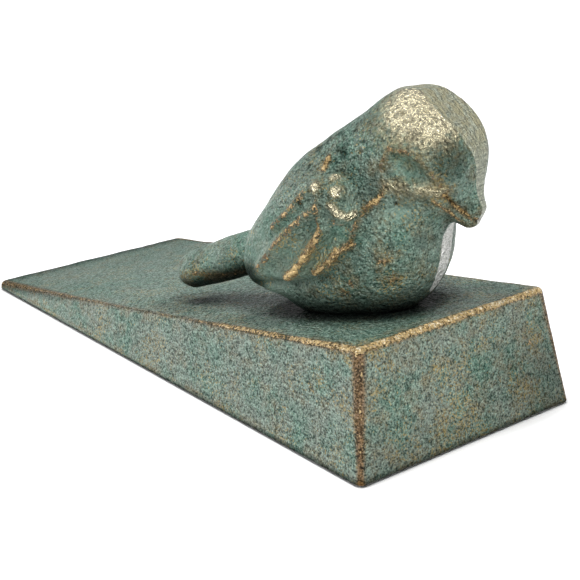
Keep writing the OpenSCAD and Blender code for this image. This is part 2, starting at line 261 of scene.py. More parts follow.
# %% Wedge skin
LONG_STEPS, END_STEPS = 360, 136
WALL_ROWS, ROLL_ROWS = 22, 10
BRIM_CROWDING = 1.25
SAG, SAG_MIDDLE, SAG_HALF, SAG_DEPTH = 0.75, -5.0, 72.0, 9.0
FLAT_LUMPS = [(0.10, 13, 1), (0.06, 4.5, 2), (0.035, 1.7, 3)]
BRIM_LUMPS = [(0.2, 7, 4), (0.12, 2.6, 5)]


def sag(points):
    """Drop of the near long brim in the middle of its run, fading out across the slope."""
    along = 1 - np.clip(np.abs(points[:, 0] - SAG_MIDDLE) / SAG_HALF, 0, 1) ** 2
    across = ease(1 - (points[:, 1] + half_width - side_lean / 2) / SAG_DEPTH)
    return SAG * along * across


def wedge_rings():
    """Rings of the leaning wedge, from its foot to the end of the roll, with outward ways and roll angles.

    A wall point is its foot spot moved in by the roll's inset and by the lean times the rise to the slope.
    """
    spot, way = outline(half_length, half_width, corner_radius, LONG_STEPS, END_STEPS)
    inner = np.array([half_length, half_width]) - corner_radius
    lean = (spot - corner_radius * way) / inner * lean_rate
    roll = tip_radius + (edge_radius - tip_radius) * (spot[:, 0] + half_length) / (2 * half_length)
    foot = np.concatenate([spot, np.full((len(spot), 1), pad_thick)], axis=1)

    def at_roll(turn):
        """The ring at one turn of the roll: in by the quarter round, and up until it meets its height."""
        flat = spot - (roll * (1 - np.cos(turn)))[:, None] * way
        drop = roll * (1 - np.sin(turn))
        rise = (top_at(flat[:, 0]) - drop - pad_thick) / (1 + slope_rate * lean[:, 0])
        return np.concatenate([flat - lean * rise[:, None], (pad_thick + rise)[:, None]], axis=1)

    shoulder = at_roll(0.0)
    climb = 1 - (1 - np.linspace(0, 1, WALL_ROWS, endpoint=False)) ** BRIM_CROWDING
    walls = [foot + (shoulder - foot) * t for t in climb]
    turns = np.linspace(0, np.pi / 2, ROLL_ROWS + 1)
    angle = np.concatenate([np.zeros(WALL_ROWS), turns])
    rings = np.array(walls + [at_roll(turn) for turn in turns])
    flat_way = np.concatenate([way, np.zeros((len(way), 1))], axis=1)
    ways = np.cos(angle)[:, None, None] * flat_way + np.sin(angle)[:, None, None] * slope_up
    return rings, ways, angle


def wedge_skin(name):
    """Closed skin of the cast wedge: rings, the slope's patch and one flat face under the foot."""
    rings, ways, angle = wedge_rings()
    count, around = rings.shape[:2]
    flat = rings.reshape(-1, 3)
    wander = np.sin(2 * angle)[:, None] * layered(flat, BRIM_LUMPS).reshape(count, around)
    push = layered(flat, FLAT_LUMPS) + wander.ravel()
    height = (flat[:, 2] - pad_thick) / (top_at(flat[:, 0]) - pad_thick)
    moved = flat + (push * ease(4 * height))[:, None] * ways.reshape(-1, 3)
    moved[:, 2] -= sag(flat) * ease(height)
    moved[:around, 2] = pad_thick
    moved[:, 2] = np.maximum(moved[:, 2], pad_thick)
    smooth_top = patch(rings[-1], LONG_STEPS, END_STEPS)[1:-1, 1:-1].reshape(-1, 3)
    top = smooth_top + layered(smooth_top, FLAT_LUMPS)[:, None] * slope_up
    top[:, 2] -= sag(smooth_top)
    index = np.arange(count * around).reshape(count, around)
    top_index = patch_index((count - 1) * around, count * around, LONG_STEPS, END_STEPS)
    points = np.concatenate([moved, top])
    under = index[0][::-1][None]
    return put_in(name, points, grid_quads(wrapped(index)), grid_quads(top_index.T)[:, ::-1], under)


wedge = wedge_skin("cast_wedge")
print("wedge skin:", len(wedge.data.polygons), "faces")

# %% [markdown]
# ## Coring the wedge
# A sand core leaves the wedge hollow from below, with a round boss under the plate for each screw. These are
# plain cut-outs, so they are done as a machinist thinks of them: take the core away, add the bosses, drill.
# A Boolean modifier does each step on closed meshes, and its result is kept as the new mesh.

# %% Sizes under the plate
wall = 6.5
plate = 5.0
core_min = 3.0
core_radius = 4.0
screw_d = 5.0
screw_length = 20.0
screw_pitch = 16.0
screw_ahead = -1.5
boss_d = 14.0
boss_drop = 3.0
clear_gap = 0.25
tap_gap = 0.05
hole_spare = 3.0
washer_thick = 1.0
spring_thick = 1.2
seat_from_end = 29.0
seat_aside = -1.75
bird_turn = np.radians(20)
seat = np.array([half_length - seat_from_end, seat_aside, top_at(half_length - seat_from_end)])
tilt = np.array([[np.cos(slope), 0, -np.sin(slope)], [0, 1, 0], [np.sin(slope), 0, np.cos(slope)]])
swing = np.array(
    [[np.cos(bird_turn), -np.sin(bird_turn), 0], [np.sin(bird_turn), np.cos(bird_turn), 0], [0, 0, 1]]
)
to_part = tilt @ swing
screw_places = {"front": screw_ahead + screw_pitch / 2, "rear": screw_ahead - screw_pitch / 2}
boss_face = -(plate + boss_drop)
washer_face = boss_face - washer_thick
spring_face = washer_face - spring_thick
screw_tip = spring_face + screw_length
print("bird's seat at", seat.round(2), "mm, screws reach", round(screw_tip, 2), "mm into the bird")


# %% Cutting tools
def on_slope(points):
    """Moves points from the bird's own frame, with its seat as origin, onto the wedge's slope."""
    return points @ to_part.T + seat


def off_slope(points):
    """The way back, from the part's frame into the bird's own."""
    return (points - seat) @ to_part


def turned(name, profile, ahead, sides):
    """Closed round body: a profile of radius and height, from axis to axis, carried round a screw's axis."""
    angle = np.arange(sides) * 2 * np.pi / sides
    radius, height = np.array(profile[1:-1]).T
    ring = np.stack([np.cos(angle), np.sin(angle)], axis=1)
    points = np.empty((len(radius), sides, 3))
    points[..., :2] = radius[:, None, None] * ring
    points[..., 2] = height[:, None]
    poles = np.array([[0, 0, profile[0][1]], [0, 0, profile[-1][1]]])
    every = np.concatenate([points.reshape(-1, 3), poles]) + [ahead, 0, 0]
    index = np.arange(len(radius) * sides).reshape(len(radius), sides)
    low, high = index.size, index.size + 1
    ring_pairs = wrapped(index)
    first = np.stack([np.full(sides, low), ring_pairs[0, 1:], ring_pairs[0, :-1]], axis=1)
    last = np.stack([np.full(sides, high), ring_pairs[-1, :-1], ring_pairs[-1, 1:]], axis=1)
    return put_in(name, on_slope(every), grid_quads(ring_pairs), first, last)


def bar(name, radius, low, high, ahead, sides=64):
    """Plain round bar along a screw's axis, to cut or add with."""
    return turned(name, [(0, low), (radius, low), (radius, high), (0, high)], ahead, sides)


def shaped(piece, tool, operation):
    """Cuts or adds the tool with a Boolean step and keeps the result as the piece's mesh."""
    step = piece.modifiers.new(operation, "BOOLEAN")
    step.operation = operation
    step.solver = "MANIFOLD"
    step.object = tool
    graph = bpy.context.evaluated_depsgraph_get()
    result = bpy.data.meshes.new_from_object(piece.evaluated_get(graph))
    piece.modifiers.clear()
    before = piece.data
    piece.data = result
    bpy.data.meshes.remove(before)
    result.name = piece.name
    used = tool.data
    bpy.data.objects.remove(tool)
    bpy.data.meshes.remove(used)


# %% Core, bosses and screw holes
CORE_LONG, CORE_END = 60, 30
CUT_SPARE, DRILL_TOP = 1.0, 5.0
ceiling_drop = plate / np.cos(slope)
core_front = half_length - wall
core_rear = top_front - (base_height - ceiling_drop - pad_thick - core_min) / slope_rate


def core_block(name):
    """The core's shape: a smaller leaning wedge whose ceiling lies a plate's thickness under the slope."""
    half_x = (core_front - core_rear) / 2
    middle = (core_front + core_rear) / 2
    spot, way = outline(half_x, half_width - wall, core_radius, CORE_LONG, CORE_END)
    lean = (spot - core_radius * way) / (np.array([half_x, half_width - wall]) - core_radius) * lean_rate
    spot = spot + [middle, 0]
    rise = (top_at(spot[:, 0]) - ceiling_drop - pad_thick) / (1 + slope_rate * lean[:, 0])
    ceiling = np.concatenate([spot - lean * rise[:, None], (pad_thick + rise)[:, None]], axis=1)
    foot = np.concatenate([spot, np.full((len(spot), 1), pad_thick)], axis=1)
    below = foot - (ceiling - foot) / rise[:, None]
    around = len(spot)
    index = np.arange(2 * around).reshape(2, around)
    points = np.concatenate([below, ceiling])
    return put_in(name, points, grid_quads(wrapped(index)), index[0][::-1][None], index[1][None])


shaped(wedge, core_block("core"), "DIFFERENCE")
for ahead in screw_places.values():
    shaped(wedge, bar("boss", boss_d / 2, boss_face, -plate / 2, ahead), "UNION")
for ahead in screw_places.values():
    drill = bar("drill", screw_d / 2 + clear_gap, boss_face - CUT_SPARE, DRILL_TOP, ahead)
    shaped(wedge, drill, "DIFFERENCE")
print("cored wedge:", len(wedge.data.polygons), "faces")

# %% [markdown]
# ## The bird as one blended form
# A modeller in clay presses soft masses together: belly, breast, back, rump, nape, head, tail, wings. Here
# each mass is an ellipsoid with a distance-like value, below zero inside. Two values are joined with a
# rounded valley, so the masses run into one another as clay does. The skin is where the value is zero.

# %% The bird's masses
BLEND = 5.0


def mass(middle, size, pitch=0.0, turn=0.0):
    """An ellipsoid: its middle, its axes divided by its half sizes, and one over the half sizes."""
    c, s = np.cos(np.radians(pitch)), np.sin(np.radians(pitch))
    d, e = np.cos(np.radians(turn)), np.sin(np.radians(turn))
    half = np.array(size) / 2
    axes = np.array([[c * d, c * e, s], [-e, d, 0], [-s * d, -s * e, c]])
    return np.array(middle, dtype=float), axes / half[:, None], 1 / half


def depth(points, form):
    """Distance-like value of an ellipsoid: a(a - 1) / b, with a the stretched radius and b its gradient."""
    middle, axes, scale = form
    q = (points - middle) @ axes.T
    a = np.linalg.norm(q, axis=-1)
    return a * (a - 1) / np.maximum(np.linalg.norm(q * scale, axis=-1), 1e-9)


def taper(points, root, tip, root_r, tip_r):
    """Distance from a round bar that tapers between two ends."""
    run = tip - root
    u = np.clip((points - root) @ run / (run @ run), 0, 1)
    return np.linalg.norm(points - root - u[..., None] * run, axis=-1) - root_r - (tip_r - root_r) * u


def join(a, b, k):
    """Union of two values with a rounded valley of width k."""
    h = np.maximum(k - np.abs(a - b), 0) / k
    return np.minimum(a, b) - h * h * k / 4


def carve(a, b, k):
    """The second value cut from the first, with a rim rounded over width k."""
    return -join(-a, b, k)


head_at = np.array([16.6, 0, 31.5])
belly = mass([-3.2, 0, 11.0], [36.4, 29, 27], 8.6)
breast = mass([7.9, 0, 14.8], [24, 28, 30.2], -11.8)
back = mass([-6.6, 0, 21], [40, 27, 23.4], 42)
rump = mass([-15, 0, 15], [18, 20, 14], 20)
head = mass(head_at, [25.6, 24.4, 28.2])
nape = mass(head_at - [9.6, 0, 1], [22, 21, 19], 30)
eye = mass(head_at + [2.4, 12.6, -1.5], [10, 3.8, 5], -38, -24)
wing = mass([-8, 12.6, 17.8], [34, 8, 16.4], 33, 9)
tail_root = np.array([-12, 0, 15.8])
tail_length, tail_width, tail_droop = 38.0, 11.6, np.radians(14)
tail_run = np.array([np.cos(tail_droop), 0, np.sin(tail_droop)])
tail_end = tail_root - tail_run * tail_length
tail = mass(tail_root - tail_run * tail_length / 2, [tail_length, tail_width, 9.2], 14)
TAIL_TIP_R, TAIL_ROOT_R = 4.2, 4.8
tail_core = (tail_root, tail_end + tail_run * TAIL_TIP_R, TAIL_ROOT_R, TAIL_TIP_R)
print("bird: head", head_at, "and tail end", tail_end.round(1), "from its seat")

# %% [markdown]
# The beak is a short cone with a soft tip, in two halves. A tapered round bar between two ends gives each
# half, and the lower one is a little smaller and sits a little behind. With that the whole form is joined up,
# in the order in which clay would be added: body, head, tail, wings, eyes cut in, and the beak last.

# %% Beak and the whole form
WING_BLEND, EYE_RIM, TAIL_BLEND = 4.5, 0.8, 1.5
MOUTH_BLEND, BEAK_BLEND = 0.8, 2.0
BEAK_LENGTH = 6.3
beak_pitch = np.radians(-60)
beak_root = head_at + [6.6, 0, -5.6]
beak_run = BEAK_LENGTH * np.array([np.cos(beak_pitch), 0, np.sin(beak_pitch)])
under_root = beak_root + [-1, 0, -1.9]
UNDER_SHARE = 0.98
ROOT_R, TIP_R = 4.95, 2.45
beak_top = (beak_root, beak_root + beak_run, ROOT_R, TIP_R)
beak_under = (under_root, under_root + UNDER_SHARE * beak_run, UNDER_SHARE * ROOT_R, UNDER_SHARE * TIP_R)


def modelled(points):
    """Value of the bird as modelled, before the mould line was ground; both sides are alike."""
    q = points * [1, 0, 1] + np.abs(points) * [0, 1, 0]
    low = join(depth(q, belly), depth(q, breast), BLEND)
    body = join(join(low, depth(q, back), BLEND), depth(q, rump), BLEND)
    top = join(depth(q, nape), depth(q, head), BLEND)
    tailed = join(depth(q, tail), taper(q, *tail_core), TAIL_BLEND)
    trunk = join(join(body, top, BLEND), tailed, BLEND / 2)
    winged = join(trunk, depth(q, wing), WING_BLEND)
    faced = carve(winged, depth(q, eye), EYE_RIM)
    bill = join(taper(q, *beak_top), taper(q, *beak_under), MOUTH_BLEND)
    return join(faced, bill, BEAK_BLEND)


print("beak tip at", beak_top[1].round(1), "from the seat")

# %% [markdown]
# The two halves of the bird's mould met along its middle, and the seam was ground off. That leaves a flat
# strip from the crown down the forehead, the beak's ridge and the breast. Grinding takes the middle section
# itself, set in by a small depth, and keeps whatever lies outside it. So the strip is widest where the form
# is roundest, as on the real casting.

# %% The ground strip
STRIP_HEIGHTS = [3, 8, 15, 17, 22, 28.5, 31.5, 34.5, 37, 39, 42, 44, 46]
STRIP_DEPTHS = [0, 0.1, 0.1, 0, 0.25, 0.2, 0.45, 1.1, 1.5, 2, 1.85, 0.9, 0.2]
STRIP_REAR, STRIP_FADE, STRIP_LIFT, STRIP_RIM = 10.0, 6.0, 0.6, 0.25


def ground(points):
    """Value of the middle section, carried straight across and set in by the grinder's depth."""
    middle = points * [1, 0, 1]
    cut = np.interp(points[..., 2], STRIP_HEIGHTS, STRIP_DEPTHS)
    ahead = ease((points[..., 0] - STRIP_REAR) / STRIP_FADE)
    return modelled(middle) + cut * ahead - STRIP_LIFT * (1 - ahead)


def bird_value(points):
    """Value of the finished bird: the modelled form, less what the grinder took."""
    return carve(modelled(points), -ground(points), STRIP_RIM)


print("ground strip: up to", max(STRIP_DEPTHS), "mm deep")

# %% [markdown]
# ## Finding the skin
# Rays start on a line inside the bird and each crosses the skin once. Their starts and directions swing from
# the tail to the beak, so rings of rays cover the whole form like the hoops of a basket. Halving the stretch
# that holds the crossing, for all rays at once, gives every point of the skin in a few steps.

# %% Rays to skin
SEGMENTS = 300
CAP_RINGS, SHAFT_RINGS, BODY_RINGS = 14, 36, 250
HALVINGS = 20
core_at = np.array([0, 0, 20.0])
front_at = head_at - [7.6, 0, 5]
tail_way = tail_end - core_at
TAIL_DIR = np.arctan2(tail_way[2], tail_way[0]) + 2 * np.pi
BEAK_DIR = np.radians(165)
SHAFT_FROM = 27.0
SHAFT_TO = np.linalg.norm(tail_way) - tail_width / 2
BODY_REACH = 36.0
FIRST_POLAR, LAST_POLAR = 16, 177
SWING_FROM, SWING_OVER = 60, 100
RING_CROWDING, SIDE_CROWDING = 0.2, 0.12


def along(direction):
    """Unit vector in the bird's middle plane at an angle from straight ahead."""
    return np.stack([np.cos(direction), 0 * direction, np.sin(direction)], axis=-1)


def crowd(u, amount):
    """Even steps from 0 to 1, drawn closer together in the middle."""
    return u + amount * np.sin(2 * np.pi * u) / (2 * np.pi)


def ring_plan():
    """For each ring: where its rays start, the axis they open round, their angle to it and their reach."""
    shaft = np.linspace(SHAFT_TO, SHAFT_FROM, SHAFT_RINGS)
    steps = crowd(np.linspace(0, 1, BODY_RINGS), RING_CROWDING)
    polar = np.radians(FIRST_POLAR + (LAST_POLAR - FIRST_POLAR) * steps)
    turn = ease((np.degrees(polar) - SWING_FROM) / SWING_OVER)
    cap_polar = np.radians(90) * np.arange(1, CAP_RINGS + 1) / (CAP_RINGS + 1)
    down_tail = np.concatenate([np.full(CAP_RINGS, SHAFT_TO), shaft])
    on_tail = core_at + along(np.array(TAIL_DIR)) * down_tail[:, None]
    starts = np.concatenate([on_tail, core_at + (front_at - core_at) * turn[:, None]])
    axes = np.concatenate([np.full(len(on_tail), TAIL_DIR), TAIL_DIR + (BEAK_DIR - TAIL_DIR) * turn])
    opening = np.concatenate([cap_polar, np.full(SHAFT_RINGS, np.pi / 2), polar])
    reach = np.concatenate([np.full(len(on_tail), tail_width), np.full(BODY_RINGS, BODY_REACH)])
    return starts, axes, opening, reach


def skin_along(starts, ways, reach):
    """Points where rays leave the bird, by halving the stretch that crosses the skin."""
    near = np.zeros(ways.shape[:-1])
    far = np.broadcast_to(reach, near.shape).copy()
    for _ in range(HALVINGS):
        middle = (near + far) / 2
        outside = bird_value(starts + ways * middle[..., None]) > 0
        far = np.where(outside, middle, far)
        near = np.where(outside, near, middle)
    return starts + ways * ((near + far) / 2)[..., None]


starts, axes, opening, reach = ring_plan()
around = 2 * np.pi * np.arange(SEGMENTS) / SEGMENTS
half_turn = np.pi * crowd(np.abs(around - np.pi) / np.pi, SIDE_CROWDING)
around = np.pi - np.sign(around - np.pi) * half_turn
hoop = np.cos(around)[None, :, None] * along(axes + np.pi / 2)[:, None] + np.sin(around)[:, None] * [0, 1, 0]
rays = np.cos(opening)[:, None, None] * along(axes)[:, None] + np.sin(opening)[:, None, None] * hoop
skin = skin_along(starts[:, None], rays, reach[:, None])
poles = skin_along(
    np.array([starts[0], starts[-1]]),
    np.array([along(axes[0]), -along(axes[-1])]),
    np.array([reach[0], reach[-1]]),
)
print("bird skin:", skin.shape[0], "rings of", skin.shape[1], "points")

# %% [markdown]
# ## Relief on the skin
# Finer forms are laid on as relief: the feathers of the wing, the ridge of the cheek, the brow over the eye,
# the mouth line, knobs on the shoulder, and the hammered crown. In wax they would be pressed and scraped with
# a small tool. Here each is a stroke drawn through a few points, or a patch of noise, and it lifts or sinks
# the skin along its own outward direction.

# %% Strokes and spots
strokes = {
    "cheek_band": [(24, 8.5, 25), (21.5, 10, 26), (18.5, 11, 26.5), (14, 11.5, 27.5)],
    "cheek_line": [(14, 11.5, 27.5), (11.5, 11.5, 24.5), (9, 12.5, 23), (7.5, 14, 21.5), (6, 14.5, 16.5)],
    "brow": [
        (13.5, 12, 31.5),
        (15.5, 12, 34.5),
        (18.5, 12, 33.5),
        (21, 11.5, 32),
        (22, 11, 30),
        (24, 9, 26.5),
    ],
    "mouth": [(24, 8, 24.5), (24.5, 4.5, 21.5), (25.5, 2.5, 19.5), (27.5, 1, 17.5)],
    "lower_lip": [(22, 8.5, 23.5), (23, 5, 21), (23.5, 3.5, 19.5), (24.5, 2, 18)],
    "first_feather": [(-2, 16, 27), (-6, 16.5, 23.5), (-10.5, 16.5, 20.5)],
    "second_feather": [(1, 17, 24.5), (-3, 17, 22), (-7.5, 17, 19), (-13, 16, 14.5), (-16.5, 15, 11.5)],
    "third_feather": [(0.5, 17, 19), (-1.5, 17, 16.5), (-3.5, 17, 14.5), (-6.5, 16.5, 11.5), (-9, 16, 10)],
    "fourth_feather": [(6, 14.5, 16.5), (3.5, 15.5, 15.5), (2, 15.5, 14), (-1, 15.5, 12), (-2.5, 15.5, 11)],
    "wing_front": [(0.5, 16.5, 26.5), (1, 17, 24.5), (0.5, 17, 21.5), (0.5, 17, 19.5)],
    "shoulder_bow": [(4, 17, 24.5), (5, 16.5, 23), (6.5, 15.5, 22), (7.5, 14.5, 22.5)],
    "under_bow": [(4, 16.5, 21.5), (5, 16, 21), (6.5, 15, 19.5)],
    "upper_valley": [(-1, 17.5, 20.5), (-4, 17, 17.5), (-8.5, 16.5, 14.5), (-12, 16, 11.5)],
    "lower_valley": [(3, 16.5, 18), (0, 16.5, 15), (-4, 16, 11)],
    "wing_hem": [(-19, 12, 7.5), (-14, 14.5, 8), (-9, 15, 7.5), (-5, 15.5, 8), (-1, 15.5, 9)],
    "tail_keel": [(-46, 3, 7), (-41.5, 4.5, 8), (-36, 4.5, 7.5), (-29, 4, 8)],
    "shoulder_streak": [(0.5, 10, 33), (0, 11.5, 31)],
}
RIDGES = {
    "cheek_band": (0.45, 1.7),
    "cheek_line": (0.5, 1.0),
    "brow": (0.55, 0.8),
    "lower_lip": (0.25, 0.5),
    "first_feather": (1.2, 1.1),
    "second_feather": (1.3, 1.2),
    "third_feather": (1.6, 1.3),
    "fourth_feather": (1.5, 1.3),
    "wing_front": (0.4, 0.8),
    "shoulder_bow": (1.0, 1.1),
    "shoulder_streak": (0.4, 0.9),
}
GROOVES = {
    "mouth": (0.6, 0.4),
    "upper_valley": (1.1, 1.5),
    "lower_valley": (1.1, 1.4),
    "wing_hem": (1.3, 1.4),
}
knobs = [(0.5, 16, 28), (4, 14, 29.5), (5, 16, 27)]
eye_corner = [(13.5, 12, 30.5)]
belly_stains = [(12.5, 11.5, 8.5), (4.5, 13.5, 8), (2.5, 13, 6), (12, 13, 12)]
pinholes = [(15, 11, 23.5), (-9, 15, 6.5), (-3, 16, 25)]
print("strokes:", len(strokes), "with", len(RIDGES), "ridges and", len(GROOVES), "grooves")


# %% Strokes onto the skin
SNAPS = 4


def outward(points, step=0.02):
    """Unit direction in which the bird's value grows fastest, by small differences."""
    here = bird_value(points)
    slopes = [bird_value(points + step * way) - here for way in np.eye(3)]
    grown = np.stack(slopes, axis=1)
    return grown / np.linalg.norm(grown, axis=1, keepdims=True)


def on_skin(places):
    """Written places moved onto the skin, by a few steps along the outward direction."""
    moved = np.array(places, dtype=float)
    for _ in range(SNAPS):
        moved = moved - bird_value(moved)[:, None] * outward(moved)
    return moved


def both_sides(points):
    """The same place on the bird's far side, where strokes and knobs are written."""
    return np.concatenate([points[:, :1], np.abs(points[:, 1:2]), points[:, 2:]], axis=1)


paths = {name: on_skin(places) for name, places in strokes.items()}
print("longest stroke:", max(len(path) for path in paths.values()), "points")

# %% Relief from strokes
KNOB_HEIGHT, KNOB_WIDTH = 1.2, 1.7
PINHOLE_DEPTH, PINHOLE_WIDTH = 0.6, 0.35
BEATEN_HEIGHT, BEATEN_LEVEL, BEATEN_CELL, BEATEN_SEED = 0.16, 0.45, 1.5, 7
SKIN_LUMPS = [(0.09, 6, 8), (0.07, 2.4, 9), (0.05, 1.1, 10)]
CROWN_AT, CROWN_REACH = np.array([21.5, 6.5, 41.5]), 20.0
STRIP_CALM, STRIP_NEAR, STRIP_SOFT = 0.8, 0.12, 0.1


def stroke(points, name, width):
    """Strength of a stroke: 1 on its line, falling off as a bell of the given width."""
    path = paths[name]
    gaps = [taper(both_sides(points), a, b, 0, 0) for a, b in zip(path[:-1], path[1:])]
    return bell(np.min(gaps, axis=0), width)


def spots(points, places, width):
    """Strength of a set of round spots, each a bell of the given width."""
    gaps = [np.linalg.norm(both_sides(points) - middle, axis=1) for middle in on_skin(places)]
    return bell(np.min(gaps, axis=0), width)


def crown_share(points):
    """1 in the middle of the crown, fading out down the head: it places the hammering and the crown's painted
    highlight.
    """
    gap = np.linalg.norm(both_sides(points) - CROWN_AT, axis=1)
    return ease(1 - gap / CROWN_REACH)


def strip_share(points):
    """1 where the grinder's flat is the skin, 0 elsewhere."""
    ahead = ease((points[:, 0] - STRIP_REAR) / STRIP_FADE)
    return ahead * ease((ground(points) - modelled(points) + STRIP_NEAR) / STRIP_SOFT)


def relief(points):
    """Height of the laid-on forms over the blended skin: ridges less grooves, plus beaten and cast lumps."""
    raised = KNOB_HEIGHT * spots(points, knobs, KNOB_WIDTH)
    for name, (height, width) in RIDGES.items():
        raised = np.maximum(raised, height * stroke(points, name, width))
    sunk = PINHOLE_DEPTH * spots(points, pinholes, PINHOLE_WIDTH)
    for name, (deep, width) in GROOVES.items():
        sunk = np.maximum(sunk, deep * stroke(points, name, width))
    beaten = BEATEN_HEIGHT * (BEATEN_LEVEL - dimples(points, BEATEN_CELL, BEATEN_SEED)) * crown_share(points)
    cast = layered(points, SKIN_LUMPS)
    return raised - sunk + (beaten + cast) * (1 - STRIP_CALM * strip_share(points))


# %% [markdown]
# The rings of skin points close into one mesh, with a fan of triangles at the tail's end and another at the
# beak's. The foundry files the underside flat and taps it for the screws. So a wide cutter takes off what
# lies below the seat, and two bars leave the tapped holes.

# %% Bird mesh, seat and tapped holes
every = np.concatenate([skin.reshape(-1, 3), poles])
every = every + relief(every)[:, None] * outward(every)
index = wrapped(np.arange(skin.shape[0] * SEGMENTS).reshape(-1, SEGMENTS))
tail_fan = np.stack([np.full(SEGMENTS, len(every) - 2), index[0, :-1], index[0, 1:]], axis=1)
beak_fan = np.stack([np.full(SEGMENTS, len(every) - 1), index[-1, 1:], index[-1, :-1]], axis=1)
bird = put_in("cast_bird", on_slope(every), grid_quads(index)[:, ::-1], tail_fan, beak_fan)
SEAT_TOOL = 60.0
seat_tool = bar("seat_tool", SEAT_TOOL, -SEAT_TOOL, 0, 0, sides=96)
shaped(bird, seat_tool, "DIFFERENCE")
for ahead in screw_places.values():
    tap = bar("tap", screw_d / 2 + tap_gap, -CUT_SPARE, screw_tip + hole_spare, ahead)
    shaped(bird, tap, "DIFFERENCE")
print("bird:", len(bird.data.polygons), "faces")

# %% [markdown]
# ## Where the patina wears
# A patina lives in the hollows and wears off what stands proud, and the hollows are also given painted shade.
# Standing proud can be measured: the mean of the bird's value on a small ball round a skin point is high on
# a ridge and low in a valley. That measure, and the strokes above, are stored on the vertices as numbers,
# and the finish reads them. Each vertex looks them up at its nearest place on the smooth skin, so the relief
# itself doesn't blur them.

# %% Regions of the bird
# Six ways along the axes and eight along a cube's diagonals.
BALL = np.concatenate([np.eye(3), -np.eye(3), np.array(list(np.ndindex(2, 2, 2))) * 1.155 - 0.577])
BALL_RADIUS = 1.6


def proudness(points, radius):
    """Mean value on a ball of ways round each point, over its radius: high on ridges, low in valleys."""
    return np.mean([modelled(points + radius * way) for way in BALL], axis=0) / radius


def far_from(points, middle, sizes):
    """Distance from a middle, counted in half sizes; both sides of the bird are alike."""
    return np.linalg.norm((both_sides(points) - middle) / sizes, axis=1)


own_place = off_slope(points_of(bird))
at_skin = on_skin(own_place)
proud = proudness(at_skin, BALL_RADIUS)
on_strip = strip_share(at_skin)
on_wing = ease((2.5 - depth(both_sides(at_skin), wing)) / 2)
in_eye = ease((0.6 - depth(both_sides(at_skin), eye)) / 0.5)
tail_part = ease((-20 - at_skin[:, 0]) / 6)
pale_band = stroke(at_skin, "cheek_band", 2.6)
shoulder = ease(1.5 - far_from(at_skin, [-2, 12, 30], 12))
# The lower forehead, between the crown and the beak, is given painted shade further down.
shaded_forehead = ease(1.5 - 1.4 * far_from(at_skin, [26, 8, 31], [5, 5, 6]))
below_cheek = ease(1 - far_from(at_skin, [16, 10.5, 22], [8, 4, 4])) * (1 - in_eye)
print("share of the bird: wing", on_wing.mean().round(3), "strip", on_strip.mean().round(3))

# %% Rubbed places on the bird
# For each stroke, the width that is rubbed in millimetres and how hard.
RUBBED_STROKES = {
    "cheek_band": (2.3, 0.3),
    "cheek_line": (1.2, 0.52),
    "brow": (0.8, 0.45),
    "mouth": (0.9, 0.55),
    "lower_lip": (0.5, 0.6),
    "first_feather": (1.1, 0.52),
    "second_feather": (1.1, 0.5),
    "third_feather": (1.3, 0.68),
    "fourth_feather": (1.3, 0.62),
    "wing_front": (0.7, 0.5),
    "shoulder_bow": (1.9, 0.4),
    "under_bow": (1.2, 0.4),
    "tail_keel": (1.5, 0.36),
    "shoulder_streak": (0.9, 0.85),
}
RUBBED_SPOTS = [(knobs, 2.3, 0.45), (eye_corner, 0.9, 0.5), (belly_stains, 2.2, 0.42)]
rub = 0.3 * ease((proud - 0.08) / 0.08) * (1 - 0.8 * on_wing)
for name, (width, strength) in RUBBED_STROKES.items():
    rub = np.maximum(rub, strength * stroke(at_skin, name, width))
for places, width, strength in RUBBED_SPOTS:
    rub = np.maximum(rub, strength * spots(at_skin, places, width))
# The knobs and the shoulder's bow are pale metal: worn gold with a painted highlight, kept out of the rub.
pale_wear_and_highlight = 0.85 * np.maximum(spots(at_skin, knobs, 1.8), stroke(at_skin, "shoulder_bow", 1.2))
rub = rub * (1 - ease(pale_wear_and_highlight / 0.6))
keep(bird, "rub", np.clip(rub, 0, 1.2) * (1 - on_strip) * (1 - in_eye))
keep(bird, "bare", 0.3 * np.clip(rub, 0, 1) * (1 - 0.7 * on_wing))
keep(bird, "strip", on_strip)
# The crown's share: the pale hammered crown with its painted highlight, the knobs, the bow and the pale cheek
# band.
keep(bird, "crown", np.max([crown_share(at_skin), pale_wear_and_highlight, 0.62 * pale_band], axis=0))
print("rubbed on the bird:", rub.mean().round(3))

# %% Painted shade in the bird's hollows and underside, and real dark specks
# The tail's underside is given painted shade.
tail_line = tail_root[2] + (at_skin[:, 0] - tail_root[0]) * np.tan(tail_droop)
shade_under_tail = ease((tail_line + 0.2 - at_skin[:, 2]) / 3.5) * ease((-15 - at_skin[:, 0]) / 6)
specks = ease((waves(at_skin, 1.5, 31) + 0.6 * waves(at_skin, 4, 32) - 0.2) / 0.5)
# Painted shade, near black: in the valleys, along the mouth line, in the pinholes, under the wing's edge, on
# the lower forehead, towards the seat and under the tail. The specks are real dark marks.
shade_and_specks = {
    "valleys": 0.45 * ease((0.01 - proud) / 0.06),
    "mouth": 0.95 * stroke(at_skin, "mouth", 0.3),
    "pinholes": spots(at_skin, pinholes, 0.4),
    "under the wing": 0.4 * stroke(at_skin, "wing_hem", 1.0),
    "shaded_forehead": 0.5 * shaded_forehead,
    "along the seat": ease(1.0 - own_place[:, 2] / 9) ** 1.8,
    "under the tail": 0.95 * shade_under_tail,
    "specks": (0.3 + 0.35 * shoulder) * specks * (1 - 0.8 * on_wing),
}
hollow = np.max(list(shade_and_specks.values()), axis=0)
keep(bird, "hollow", np.clip(hollow, 0, 1) * (1 - 0.9 * in_eye))
print("dirt on the bird:", hollow.mean().round(3))

# %% Grain of the bird
wing_smooth = 0.75 * on_wing * (1 - 0.7 * shoulder)
smooth = np.max([0.5 * in_eye, wing_smooth, below_cheek, 0.3 * tail_part, 0.6 * pale_band], axis=0)
